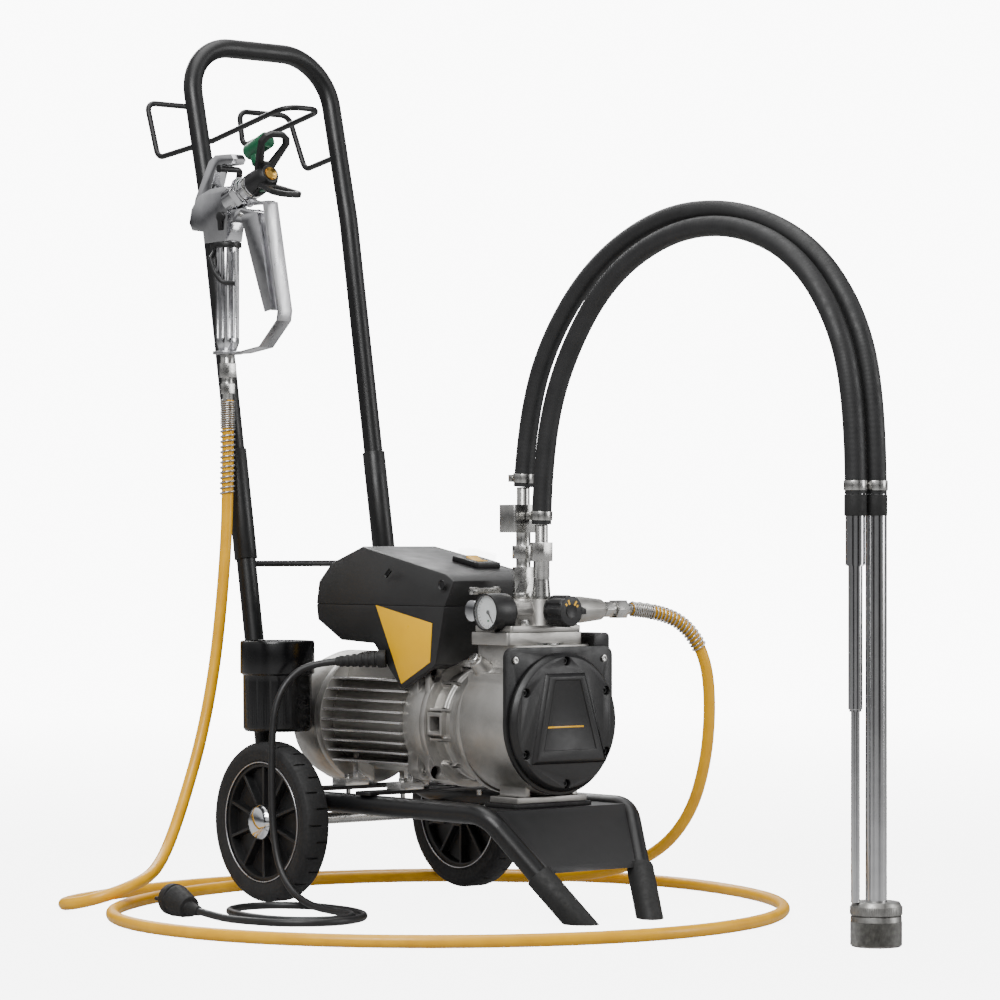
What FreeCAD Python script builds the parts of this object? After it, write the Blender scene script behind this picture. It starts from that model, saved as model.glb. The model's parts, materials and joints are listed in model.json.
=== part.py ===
import FreeCAD, Part
import math
import os
from FreeCAD import Vector as V

# Airless paint sprayer on a two-wheel cart. Millimetres, +Z up, the pump faces -Y,
# the wheels are at +Y, X = 0 is the machine's middle plane and Z = 0 is the floor.
# The model is drawn from the motor's own place, then slid along Y so that the
# machine's box (without its loose hoses and cable) is centred on the origin.

# ---------------------------------------------------------------- driving dimensions
TUBE_R = 12.5                 # cart tube
TUBE_WALL = 1.6
FRAME_X = 114.0               # cart tube centre to the middle plane
FRAME_Z = 126.0               # height of the cart's straight tubes
FRONT_BEND_Y = -110.0         # where the front legs start
FOOT_X = 55.0                 # feet, on the floor
FOOT_Y = -214.0
HANDLE_FOOT_Y = 295.0         # the leaning handle's centre line, at floor level
HANDLE_SLOPE = 0.172          # handle lean, mm back for each mm up
HANDLE_UPPER_SLOPE = 0.244    # the grip end leans back a little more
HANDLE_KNEE_Z = 880.0
HANDLE_TOP_Z = 1104.0
HANDLE_CORNER_R = 70.0
SLEEVE_R = 14.8               # sockets that join the two handle halves
SLEEVE_LOW_Z = 428.5
SLEEVE_HIGH_Z = 569.5
WHEEL_R = 100.0
WHEEL_WIDTH = 38.0
WHEEL_FACE_X = 179.4          # outer face of each wheel
WHEEL_Y = 252.6
AXLE_R = 7.5
RIM_R = 76.0                  # where rim and tyre meet
HUB_R = 21.0
SPOKES = 10
SHAFT_Z = 226.5               # motor and pump shaft height
BARREL_R = 66.0               # motor barrel
FIN_R = 84.0                  # circle that the cooling fins reach
FIN_PITCH = 12.9
FIN_THICK = 2.6
FINS_EACH_SIDE = 4
MOTOR_FRONT_Y = 92.0
MOTOR_REAR_Y = 250.0
SHAFT_R = 8.0
ROTOR_R = 34.0
STATOR_R = 55.9
PUMP_R = 88.0                 # oil housing
PUMP_Z = 233.0
PUMP_REAR_Y = -28.0
PUMP_FRONT_Y = -110.0
HEAD_HALF_X = 80.0            # pump head block
HEAD_LOW_Z = 326.0
HEAD_SEAM_Z = 341.5
MANIFOLD_TOP_Z = 381.0
PORT_Z = 367.0                # height of gauge, knob and outlet
OUTLET_Y = -60.0
OUTLET_END_X = 165.0
GAUGE_R = 22.5
KNOB_R = 19.5
KNOB_X = 6.0
KNOB_BACK_Y = -95.0
WIRE_R = 3.75                 # gun holder wire
CUP_R = 46.0
CUP_X, CUP_Y = -135.0, 274.0
CUP_LOW_Z, CUP_HIGH_Z = 212.0, 326.0
GUN_X = -145.0                # the gun hangs in this plane
GRIP_R = 15.0
GRIP_Y = 366.4
BARREL_TILT = 19.3            # gun barrel, degrees above level
SUCTION_HOSE_R = 12.0
SPRAY_HOSE_R = 7.5
CABLE_R = 4.5
PIPE_R = 12.0                 # suction pipe
RETURN_R = 8.0
FIT = 0.05                    # running or push fit, radial
GAP = 0.3                     # clear gap between separate pieces
WALL = 3.0                    # moulded covers

# ---------------------------------------------------------------- routes of hoses and cable
SPRAY_ROUTE = [
    (-145, 366, 632), (-145, 366, 560), (-147, 365, 470), (-155, 365, 376), (-168, 364, 285),
    (-190, 361, 200), (-222, 352, 128), (-260, 330, 76), (-300, 298, 50), (-344, 262, 38),
    (-394, 249, 26), (-430, 272, 14), (-432, 318, 7.6), (-394, 352, 7.6), (-340, 380, 7.6),
    (-280, 404, 7.6), (-206, 428, 7.6), (-110, 440, 7.6), (25, 428, 7.6),
    (148, 378, 7.6), (250, 295, 7.6), (322, 190, 7.6), (350, 60, 7.6), (330, -80, 7.6),
    (275, -210, 7.6), (185, -315, 7.6), (70, -385, 7.6), (-65, -412, 7.6), (-200, -392, 7.6),
    (-330, -325, 7.6), (-435, -220, 7.6), (-494, -100, 7.6), (-506, 20, 7.6), (-484, 122, 7.6),
    (-438, 204, 7.6), (-374, 268, 7.6), (-294, 322, 7.6), (-204, 362, 7.6), (-105, 388, 7.6),
    (5, 394, 7.6), (115, 362, 7.6), (205, 298, 7.6), (268, 215, 7.6), (300, 130, 18),
    (313, 50, 48), (308, -15, 100), (295, -58, 170), (284, -78, 245), (270, -84, 305),
    (243, -77, 347), (205, -64, 364), (OUTLET_END_X, OUTLET_Y, PORT_Z),
]
CABLE_ROUTE = [
    (-126, 166, 302), (-150, 186, 299), (-176, 196, 282), (-194, 200, 250), (-199, 200, 205),
    (-201, 198, 150), (-202, 194, 95), (-203, 180, 48), (-205, 150, 20), (-207, 108, 7),
    (-208, 62, 4.6), (-213, 18, 4.6), (-245, -15, 4.6), (-290, -14, 4.6), (-321, 20, 4.6),
    (-325, 68, 4.6), (-318, 115, 4.6), (-298, 158, 4.6), (-258, 182, 4.6), (-216, 172, 4.6),
    (-190, 138, 4.6), (-184, 94, 4.6), (-188, 48, 4.6), (-206, 4, 4.6), (-239, -29, 4.6),
    (-283, -42, 4.6), (-322, -27, 4.6), (-346, 3, 4.6), (-357, 42, 4.6), (-360, 86, 4.6),
    (-358, 132, 9),
]
SUCTION_ROUTE = [
    (3, -42, 518), (4, -47, 590), (7, -80, 690), (14, -160, 785), (22, -275, 838),
    (29, -395, 836), (35, -505, 790), (38, -577, 705), (39, -603, 600), (39, -603.5, 504),
]
RETURN_ROUTE = [
    (2, -77, 472), (2, -80, 560), (4, -112, 665), (6, -190, 765), (7, -300, 815),
    (8, -410, 817), (10, -510, 775), (11, -575, 690), (12, -597, 590), (12, -597.5, 504),
]

PARTS = {}
SCREWS = []
FITTINGS = []
CLEAR = []
LOOSE = {"spray_hose", "power_cable", "suction_hose", "return_hose", "hose_guards", "hose_clamps",
         "pickup_pipes", "inlet_filter", "plug"}


# ---------------------------------------------------------------- shape helpers
def vec(p):
    return V(float(p[0]), float(p[1]), float(p[2]))


def rod(p0, p1, r, r1=None):
    """Round bar or cone from p0 to p1."""
    a, b = vec(p0), vec(p1)
    axis = b - a
    if r1 is None or abs(r1 - r) < 1e-6:
        return Part.makeCylinder(r, axis.Length, a, axis)
    return Part.makeCone(r, r1, axis.Length, a, axis)


def ring(p0, p1, outer, inner):
    a, b = vec(p0), vec(p1)
    over = (b - a).normalize() * 1.0
    return rod(a, b, outer).cut(rod(a - over, b + over, inner))


def block(x0, x1, y0, y1, z0, z1):
    return Part.makeBox(x1 - x0, y1 - y0, z1 - z0, V(x0, y0, z0))


def polygon(points):
    return Part.Face(Part.makePolygon([vec(p) for p in points] + [vec(points[0])]))


def yz_plate(points, x0, x1):
    """Outline given as (y, z), extruded from x0 to x1."""
    return polygon([(x0, y, z) for y, z in points]).extrude(V(x1 - x0, 0, 0))


def xz_plate(points, y0, y1):
    """Outline given as (x, z), extruded from y0 to y1."""
    return polygon([(x, y0, z) for x, z in points]).extrude(V(0, y1 - y0, 0))


def hexagon(p0, p1, flats):
    """Hexagonal bar from p0 to p1, its size given across flats."""
    a, b = vec(p0), vec(p1)
    axis = b - a
    side = axis.cross(V(0, 0, 1))
    if side.Length < 1e-6:
        side = axis.cross(V(0, 1, 0))
    side.normalize()
    up = axis.cross(side).normalize()
    r = flats / math.sqrt(3)
    corners = [a + side * (r * math.cos(i * math.pi / 3)) + up * (r * math.sin(i * math.pi / 3))
               for i in range(6)]
    return polygon(corners).extrude(axis)


def joined(shapes):
    out = shapes[0]
    if len(shapes) > 1:
        out = out.multiFuse(shapes[1:])
    return out.removeSplitter()


def group(shapes):
    return Part.makeCompound(shapes)


def mirrored(shape):
    return shape.mirror(V(0, 0, 0), V(1, 0, 0))


def turned(points, r):
    """Arc edges and straight edges through the points, each corner rounded by r[i]."""
    edges, start = [], points[0]
    for i in range(1, len(points) - 1):
        before = (points[i - 1] - points[i]).normalize()
        after = (points[i + 1] - points[i]).normalize()
        turn = math.pi - before.getAngle(after)
        cut = r[i - 1] * math.tan(turn / 2)
        enter, leave = points[i] + before * cut, points[i] + after * cut
        bisector = (before + after).normalize()
        middle = points[i] + bisector * (r[i - 1] / math.cos(turn / 2) - r[i - 1])
        edges.append(Part.LineSegment(start, enter).toShape())
        edges.append(Part.Arc(enter, middle, leave).toShape())
        start = leave
    edges.append(Part.LineSegment(start, points[-1]).toShape())
    return Part.Wire(edges)


def sweep(path, start, direction, r):
    section = Part.Wire([Part.makeCircle(r, start, direction)])
    return path.makePipeShell([section], True, True)


def bent_bar(points, radii, r):
    pts = [vec(p) for p in points]
    if len(pts) == 2:
        return rod(pts[0], pts[1], r)
    return sweep(turned(pts, radii), pts[0], pts[1] - pts[0], r)


def bent_tube(points, radii, r, wall):
    return bent_bar(points, radii, r).cut(bent_bar(points, radii, r - wall))


def cord_radii(pts):
    radii = []
    for a, b, c in zip(pts, pts[1:], pts[2:]):
        run = min((b - a).Length, (c - b).Length)
        turn = (b - a).getAngle(c - b)
        radii.append(0.45 * run / math.tan(turn / 2))
    return radii


def cord(name, route, r):
    """Round hose or cable along a hand-laid route; each bend is as large as its runs allow."""
    pts = [vec(p) for p in route]
    radii = cord_radii(pts)
    path = turned(pts, radii)
    tube = sweep(path, pts[0], pts[1] - pts[0], r)
    expected = math.pi * r * r * path.Length
    print("%s: length %.0f, smallest bend %.0f, volume ratio %.4f"
          % (name, path.Length, min(radii), tube.Volume / expected))
    return tube


def lathe(profile, origin, axis):
    """Solid of revolution. profile: (radius, distance along the axis)."""
    axis = vec(axis).normalize()
    side = axis.cross(V(1, 0, 0))
    if side.Length < 0.5:
        side = axis.cross(V(0, 1, 0))
    side.normalize()
    o = vec(origin)
    pts = [o + side * r + axis * h for r, h in profile]
    return polygon(pts).revolve(o, axis, 360)


def softened(shape, r, keep):
    edges = [e for e in shape.Edges if keep(e)]
    return shape.makeFillet(r, edges)


def along(axis_letter):
    """Selects straight edges that run along one axis."""
    index = "xyz".index(axis_letter)

    def test(edge):
        if edge.Curve.TypeId != "Part::GeomLine":
            return False
        return abs(edge.Curve.Direction[index]) > 0.999
    return test


def rotated(shape, centre, axis, degrees):
    out = shape.copy()
    out.rotate(vec(centre), vec(axis), degrees)
    return out


def put(name, shape):
    PARTS[name] = shape


def handle_y(z):
    """Centre line of the handle tubes, knee included."""
    low = min(z, HANDLE_KNEE_Z)
    return HANDLE_FOOT_Y + HANDLE_SLOPE * low + HANDLE_UPPER_SLOPE * max(0.0, z - HANDLE_KNEE_Z)


def handle_at(x, z):
    return V(x, handle_y(z), z)


# ---------------------------------------------------------------- cart
def leg_points(side):
    bend = V(side * FRAME_X, FRONT_BEND_Y, FRAME_Z)
    foot = V(side * FOOT_X, FOOT_Y, 0)
    return bend, foot


def frame_path(side, foot_drop=0.0):
    bend, foot = leg_points(side)
    lean = (foot - bend).normalize()
    mid_z = (SLEEVE_LOW_Z + SLEEVE_HIGH_Z) / 2
    return [handle_at(side * FRAME_X, mid_z), handle_at(side * FRAME_X, FRAME_Z), bend,
            foot + lean * foot_drop]


FRAME_BENDS = [60.0, 45.0]
FOOT_FLOOR = 3.0              # thickness of a foot cap under its tube
FOOT_CAP_R = 16.2
FOOT_CAP_LENGTH = 78.0
SHIELD_TOP_Z = 130.0
PUMP_FOOT_PAD = 5.0


def make_frame():
    for side, name in ((-1, "frame_tube_near"), (1, "frame_tube_far")):
        tube = bent_tube(frame_path(side, 30.0), FRAME_BENDS, TUBE_R, TUBE_WALL)
        tube = tube.cut(block(-300, 300, -400, 0, -100, FOOT_FLOOR + FIT))
        put(name, tube)
    caps = []
    for side in (-1, 1):
        bend, foot = leg_points(side)
        lean = (bend - foot).normalize()
        body = rod(foot - lean * 40, foot + lean * FOOT_CAP_LENGTH, FOOT_CAP_R)
        hole = rod(foot - lean * 40, foot + lean * (FOOT_CAP_LENGTH + 1), TUBE_R + FIT)
        hole = hole.cut(block(-300, 300, -400, 0, -100, FOOT_FLOOR))
        caps.append(body.cut(hole).cut(block(-300, 300, -400, 0, -100, 0)))
    pad = block(-62, 62, -104, -44, SHIELD_TOP_Z + FIT, SHIELD_TOP_Z + PUMP_FOOT_PAD)
    caps.append(softened(pad, 5, along("z")))
    put("rubber_feet", group(caps))


SHIELD_THICK = 2.5
SHIELD_REAR_Y = -20.0
SHIELD_DROP_Z = 58.0


def clear_tubes(extra):
    return [bent_bar(frame_path(side, 30.0), FRAME_BENDS, TUBE_R + extra) for side in (-1, 1)]


def make_shield():
    """Folded sheet between the front legs: a shelf under the pump and a sloping front."""
    bend, foot = leg_points(1)
    slope = (foot.y - bend.y) / (foot.z - bend.z)
    front_y = FRONT_BEND_Y - 6
    low_y = front_y + (SHIELD_DROP_Z - SHIELD_TOP_Z) * slope
    t = SHIELD_THICK
    outline = [(SHIELD_REAR_Y, SHIELD_TOP_Z), (front_y, SHIELD_TOP_Z), (low_y, SHIELD_DROP_Z),
               (low_y + t * 1.4, SHIELD_DROP_Z), (front_y + t * 0.6, SHIELD_TOP_Z - t),
               (SHIELD_REAR_Y, SHIELD_TOP_Z - t)]
    sheet = yz_plate(outline, -FRAME_X, FRAME_X)
    for tube in clear_tubes(GAP):
        sheet = sheet.cut(tube)
    for side in (-1, 1):
        bend, foot = leg_points(side)
        lean = (bend - foot).normalize()
        sheet = sheet.cut(rod(foot, foot + lean * (FOOT_CAP_LENGTH + GAP), FOOT_CAP_R + GAP))
    inner = [s for s in sheet.Solids if abs(s.CenterOfMass.x) < 10]
    put("front_shield", max(inner, key=lambda s: s.Volume))


RAIL_THICK = 4.5
RAIL_YS = (112.0, 222.0)
RAIL_WIDTH = 30.0
MOTOR_FOOT_X = 62.0


def rail_top():
    return FRAME_Z + TUBE_R + FIT + RAIL_THICK


def make_brackets():
    """Cross strips under the motor, axle lugs under the tubes and the pump's rubber pad."""
    rails = make_axle()
    low = FRAME_Z + TUBE_R + FIT
    reach = FRAME_X + 14
    for y in RAIL_YS:
        rail = block(-reach, reach, y - RAIL_WIDTH / 2, y + RAIL_WIDTH / 2, low, low + RAIL_THICK)
        for x in (-FRAME_X, FRAME_X, -MOTOR_FOOT_X, MOTOR_FOOT_X):
            rail = rail.cut(rod((x, y, low - 1), (x, y, low + RAIL_THICK + 1), 3.3))
        rails.append(softened(rail, 6, along("z")))
    put("frame_brackets", group(rails))


def make_axle():
    reach = WHEEL_FACE_X - 4
    axle = rod((-reach, WHEEL_Y, WHEEL_R), (reach, WHEEL_Y, WHEEL_R), AXLE_R)
    put("axle", axle)
    ears = []
    for side in (-1, 1):
        x0 = side * FRAME_X - 4
        outline = block(x0, x0 + 8, WHEEL_Y - 16, WHEEL_Y + 16, WHEEL_R - 16, FRAME_Z)
        ear = softened(outline, 10, along("x"))
        ear = ear.cut(rod((x0 - 1, WHEEL_Y, WHEEL_R), (x0 + 9, WHEEL_Y, WHEEL_R), AXLE_R + FIT))
        tube = rod((side * FRAME_X, WHEEL_Y - 30, FRAME_Z), (side * FRAME_X, WHEEL_Y + 30, FRAME_Z),
                   TUBE_R + FIT)
        ears.append(ear.cut(tube).Solids[0])
    return ears


def make_handle():
    top_z = HANDLE_TOP_Z
    low_z = (SLEEVE_LOW_Z + SLEEVE_HIGH_Z) / 2 + 1
    x = FRAME_X
    path = [handle_at(-x, low_z), handle_at(-x, HANDLE_KNEE_Z), handle_at(-x, top_z),
            handle_at(x, top_z), handle_at(x, HANDLE_KNEE_Z), handle_at(x, low_z)]
    radii = [180, HANDLE_CORNER_R, HANDLE_CORNER_R, 180]
    put("handle_tube", bent_tube(path, radii, TUBE_R, TUBE_WALL))
    sleeves, screws = [], []
    for side in (-1, 1):
        a = handle_at(side * x, SLEEVE_LOW_Z)
        b = handle_at(side * x, SLEEVE_HIGH_Z)
        sleeve = ring(a, b, SLEEVE_R, TUBE_R + FIT)
        for z in (SLEEVE_LOW_Z + 22, SLEEVE_HIGH_Z - 22):
            at = handle_at(side * x, z)
            lean = V(0, 1, -HANDLE_SLOPE).normalize()
            head = rod(at + lean * (SLEEVE_R + 0.2), at + lean * (SLEEVE_R + 3.2), 5)
            stem = rod(at + lean * (TUBE_R - 1), at + lean * (SLEEVE_R + 1), 2.5)
            sleeve = sleeve.cut(rod(at + lean * TUBE_R, at + lean * (SLEEVE_R + 1), 2.5 + FIT))
            screws.append(head.fuse(stem.cut(rod(a, b, TUBE_R + FIT))))
        sleeves.append(sleeve)
    SCREWS.extend(screws)
    z = SLEEVE_LOW_Z - 6
    bar = rod(handle_at(-x, z), handle_at(x, z), 4)
    for tube in clear_tubes(FIT):
        bar = bar.cut(tube)
    sleeves.append(max(bar.Solids, key=lambda s: s.Volume))
    put("handle_fittings", group(sleeves))


def make_gun_wire():
    """One bent wire: two horns behind the tubes and a loop through the handle."""
    half = [(-FRAME_X, 474, 969), (-122, 553, 958), (-118, 585, 1034), (-34, 585, 1034),
            (-30, 571, 985), (-30, 396, 1019)]
    path = half + [(-p[0], p[1], p[2]) for p in reversed(half)]
    radii = [14, 14, 14, 14, 22]
    wire = bent_bar(path, radii + list(reversed(radii)), WIRE_R)
    low, high = handle_at(0, 940), handle_at(0, 1000)
    for side in (-1, 1):
        shift = V(side * FRAME_X, 0, 0)
        wire = wire.cut(rod(low + shift, high + shift, TUBE_R + FIT))
    return max(wire.Solids, key=lambda s: s.Volume)


PEG_R = 4.0
PEG_Y, PEG_Z = 365.5, 927.4


def make_gun_hanger():
    """Bent peg from the near handle tube, under the gun's hook."""
    start = handle_at(-FRAME_X, 905)
    path = [start, V(-FRAME_X, 388, 905), V(-126, PEG_Y, PEG_Z), V(-158, PEG_Y, PEG_Z)]
    peg = bent_bar(path, [12, 8], PEG_R)
    tip = rod((-158, PEG_Y, PEG_Z), (-160, PEG_Y, PEG_Z), PEG_R + 1)
    peg = peg.fuse(tip)
    peg = peg.cut(rod(handle_at(-FRAME_X, 885), handle_at(-FRAME_X, 925), TUBE_R + FIT))
    put("gun_wire", group([make_gun_wire(), max(peg.Solids, key=lambda s: s.Volume)]))


def make_cup():
    ring_z = CUP_HIGH_Z - 43
    cup = lathe([(0, CUP_LOW_Z), (CUP_R - 6, CUP_LOW_Z), (CUP_R - 3, CUP_LOW_Z + 4),
                   (CUP_R - 2.5, ring_z), (CUP_R + 1, ring_z + 2), (CUP_R + 1, CUP_HIGH_Z - 3),
                   (CUP_R, CUP_HIGH_Z), (CUP_R - 3, CUP_HIGH_Z), (CUP_R - 5.5, CUP_LOW_Z + 3),
                   (0, CUP_LOW_Z + 3)], (CUP_X, CUP_Y, 0), (0, 0, 1))
    z0, z1 = CUP_LOW_Z + 16, CUP_LOW_Z + 44
    tube = rod(handle_at(-FRAME_X, 180), handle_at(-FRAME_X, 380), TUBE_R + FIT)
    keep_out = rod((CUP_X, CUP_Y, z0 - 20), (CUP_X, CUP_Y, z1 + 20), CUP_R - 2.5 + FIT)
    at = handle_at(-FRAME_X, (z0 + z1) / 2)
    way = V(CUP_X - at.x, CUP_Y - at.y, 0).normalize()
    side = V(-way.y, way.x, 0) * 9
    base = V(at.x, at.y, z0)
    web = polygon([base + side, base - side, base + way * 34 - side * 1.6, base + way * 34 + side * 1.6])
    clip = joined([web.extrude(V(0, 0, z1 - z0)), rod(handle_at(-FRAME_X, z0), handle_at(-FRAME_X, z1),
                                                      TUBE_R + 4)])
    clip = clip.cut(tube).cut(keep_out)
    put("cup", group([cup, max(clip.Solids, key=lambda s: s.Volume)]))


# ---------------------------------------------------------------- wheels
TREAD_GROOVES = 30


def wheel_parts(side):
    out = side * WHEEL_FACE_X
    inn = side * (WHEEL_FACE_X - WHEEL_WIDTH)
    mid = (out + inn) / 2
    axis = (side, 0, 0)
    w = WHEEL_WIDTH
    origin = (inn, WHEEL_Y, WHEEL_R)
    tyre = lathe([(RIM_R + GAP, 3), (WHEEL_R - 10, 0), (WHEEL_R - 3, 3), (WHEEL_R, 8),
                  (WHEEL_R, w - 8), (WHEEL_R - 3, w - 3), (WHEEL_R - 10, w), (RIM_R + GAP, w - 3)],
                 origin, axis)
    cuts = []
    for i in range(TREAD_GROOVES):
        groove = block(min(inn, mid - 3), max(inn, mid - 3), -1.2, 1.2, WHEEL_R - 2.5, WHEEL_R + 3)
        if i % 2:
            groove = block(min(mid + 3, out), max(mid + 3, out), -1.2, 1.2, WHEEL_R - 2.5, WHEEL_R + 3)
        groove.translate(V(0, WHEEL_Y, WHEEL_R))
        spin = 360.0 / TREAD_GROOVES * (i + 0.5)
        cuts.append(rotated(groove, (0, WHEEL_Y, WHEEL_R), (1, 0, 0), spin))
    tyre = tyre.cut(group(cuts))
    rim = lathe([(RIM_R - 7, 5), (RIM_R, 5), (RIM_R, w - 5), (RIM_R - 7, w - 5)], origin, axis)
    hub = lathe([(AXLE_R + FIT, 0), (HUB_R, 0), (HUB_R, w - 2), (AXLE_R + FIT, w - 2)], origin, axis)
    dish = lathe([(HUB_R - 1, w / 2 - 2), (RIM_R - 5, w / 2 - 2), (RIM_R - 5, w / 2 + 1),
                  (HUB_R - 1, w / 2 + 1)], origin, axis)
    spokes = []
    for i in range(SPOKES):
        x0, x1 = sorted((inn + side * 6, inn + side * (w - 6)))
        spoke = block(x0, x1, WHEEL_Y - 2, WHEEL_Y + 2, WHEEL_R + HUB_R - 1, WHEEL_R + RIM_R - 5)
        spokes.append(rotated(spoke, (0, WHEEL_Y, WHEEL_R), (1, 0, 0), 360.0 / SPOKES * i))
    rim = joined([rim, hub, dish] + spokes)
    cap = lathe([(0, 0), (HUB_R + 1, 0), (HUB_R + 1, 2), (HUB_R - 3, 6.5), (HUB_R - 10, 9), (0, 9.6)],
                (out - side * 1.7, WHEEL_Y, WHEEL_R), axis)
    return tyre, rim, cap


def make_wheels():
    for side, name in ((-1, "near"), (1, "far")):
        tyre, rim, cap = wheel_parts(side)
        put("tyre_" + name, tyre)
        put("rim_" + name, rim)
        put("hub_cap_" + name, cap)


# ---------------------------------------------------------------- motor
def shaft_point(y, dx=0.0, dz=0.0):
    return V(dx, y, SHAFT_Z + dz)


def y_rod(y0, y1, r, dx=0.0, dz=0.0):
    return rod(shaft_point(y0, dx, dz), shaft_point(y1, dx, dz), r)


FOOT_BOLT_R = 3.0
FLANGE_HALF = 70.0
FLANGE_BOLT = 59.0            # corner bolts, across and up from the shaft


def square_flange(y0, y1):
    """Square flange with round corners, centred on the shaft."""
    h = FLANGE_HALF
    return softened(block(-h, h, y0, y1, SHAFT_Z - h, SHAFT_Z + h), 16, along("y"))


def make_motor():
    body = [y_rod(MOTOR_FRONT_Y, MOTOR_REAR_Y, BARREL_R)]
    for k in range(-FINS_EACH_SIDE, FINS_EACH_SIDE + 1):
        dz = k * FIN_PITCH
        half = math.sqrt(FIN_R ** 2 - dz ** 2)
        z = SHAFT_Z + dz
        body.append(block(-half, half, MOTOR_FRONT_Y, MOTOR_REAR_Y, z - FIN_THICK / 2, z + FIN_THICK / 2))
    foot_z = rail_top() + FIT
    for y in RAIL_YS:
        for side in (-1, 1):
            x0, x1 = sorted((side * (MOTOR_FOOT_X - 22), side * (MOTOR_FOOT_X + 15)))
            body.append(block(x0, x1, y - 14, y + 14, foot_z, foot_z + 9))
            x0, x1 = sorted((side * 24, side * (MOTOR_FOOT_X - 12)))
            body.append(block(x0, x1, y - 5, y + 5, foot_z, SHAFT_Z - 20))
    body.append(block(-40, 40, MOTOR_FRONT_Y, MOTOR_REAR_Y, SHAFT_Z + 40, SHAFT_Z + 70))
    housing = joined(body).cut(y_rod(MOTOR_FRONT_Y - 1, MOTOR_REAR_Y + 1, STATOR_R + FIT))
    bolts = []
    for y in RAIL_YS:
        for x in (-MOTOR_FOOT_X, MOTOR_FOOT_X):
            housing = housing.cut(rod((x, y, foot_z - 1), (x, y, foot_z + 20), FOOT_BOLT_R + 0.3))
            head_z = foot_z + 9 + FIT
            bolts.append(joined([hexagon((x, y, head_z), (x, y, head_z + 5), 10),
                                 rod((x, y, head_z + 1), (x, y, foot_z - RAIL_THICK - 8), FOOT_BOLT_R)]))
    put("motor_housing", housing)
    SCREWS.extend(bolts)

    front = joined([y_rod(59, MOTOR_FRONT_Y - FIT, 79), square_flange(72, MOTOR_FRONT_Y - FIT)])
    front = front.cut(y_rod(76, MOTOR_FRONT_Y + 1, 60)).cut(y_rod(64, 80, 20 + FIT))
    front = front.cut(y_rod(50, 90, SHAFT_R + 2))
    for sx in (-1, 1):
        for sz in (-1, 1):
            dx, dz = FLANGE_BOLT * sx, FLANGE_BOLT * sz
            front = front.cut(y_rod(50, 100, 2.8, dx, dz))
            front = front.cut(y_rod(50, 68, 7, dx, dz))
            head = hexagon(shaft_point(61, dx, dz), shaft_point(68 - FIT, dx, dz), 9)
            SCREWS.append(joined([head, y_rod(66, MOTOR_FRONT_Y - 1, 2.5, dx, dz)]))

    rear = y_rod(MOTOR_REAR_Y + FIT, MOTOR_REAR_Y + 12, FIN_R + 1)
    rear = rear.cut(y_rod(MOTOR_REAR_Y - 1, MOTOR_REAR_Y + 9, 20 + FIT))
    rear = rear.cut(y_rod(MOTOR_REAR_Y - 1, MOTOR_REAR_Y + 20, SHAFT_R + 2))
    for i in range(8):
        turn = math.radians(22.5 + 45 * i)
        rear = rear.cut(y_rod(MOTOR_REAR_Y - 1, MOTOR_REAR_Y + 20, 9, 44 * math.cos(turn),
                              44 * math.sin(turn)))
    put("motor_shields", group([front, rear]))
    bearings = [ring(shaft_point(y, 0, 0), shaft_point(y + 8.5, 0, 0), 20, SHAFT_R + FIT)
                for y in (66.5, MOTOR_REAR_Y + 0.4)]
    SCREWS.extend(bearings)

    stator = ring(shaft_point(112), shaft_point(232), STATOR_R, ROTOR_R + 0.6)
    windings = [ring(shaft_point(y0), shaft_point(y1), 52, 38) for y0, y1 in ((100, 112), (232, 244))]
    electrics = [stator] + windings
    electrics.append(rod((-20, 120, 349), (-20, 190, 349), 19))
    electrics.append(block(12, 55, 60, 190, 338, 341))
    put("motor_electrics", group(electrics))
    shaft = joined([y_rod(-96, 292, SHAFT_R), y_rod(116, 228, ROTOR_R)])
    put("rotor_shaft", group([shaft, make_eccentric()]))

    hub = ring(shaft_point(268), shaft_point(288), 18, SHAFT_R)
    blades = []
    for i in range(7):
        blade = block(-1.5, 1.5, 268, 286, SHAFT_Z + 16, SHAFT_Z + 66)
        blades.append(rotated(blade, shaft_point(0), (0, 1, 0), 360.0 / 7 * i))
    put("cooling_fan", joined([hub] + blades))

    cowl_front = MOTOR_REAR_Y + 12 + FIT
    cowl = lathe([(FIN_R - 1, cowl_front), (FIN_R + 1, cowl_front), (FIN_R + 1, 296), (FIN_R - 5, 316),
                  (FIN_R - 20, 330), (0, 336), (0, 333.5), (FIN_R - 21, 327.6), (FIN_R - 7, 314.5),
                  (FIN_R - 1, 295.5)], (0, 0, SHAFT_Z), (0, 1, 0))
    slots = []
    for i in range(18):
        slot = block(-2.2, 2.2, 300, 345, SHAFT_Z + 16, SHAFT_Z + 58)
        slots.append(rotated(slot, shaft_point(0), (0, 1, 0), 20.0 * i))
    put("fan_cowl", cowl.cut(group(slots)))


# ---------------------------------------------------------------- pump
def pump_rod(y0, y1, r, dx=0.0, dz=0.0):
    return rod((dx, y0, PUMP_Z + dz), (dx, y1, PUMP_Z + dz), r)


ECCENTRIC_R = 24.0
ECCENTRIC_THROW = 4.0
ECCENTRIC_Y = (-84.0, -64.0)


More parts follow.
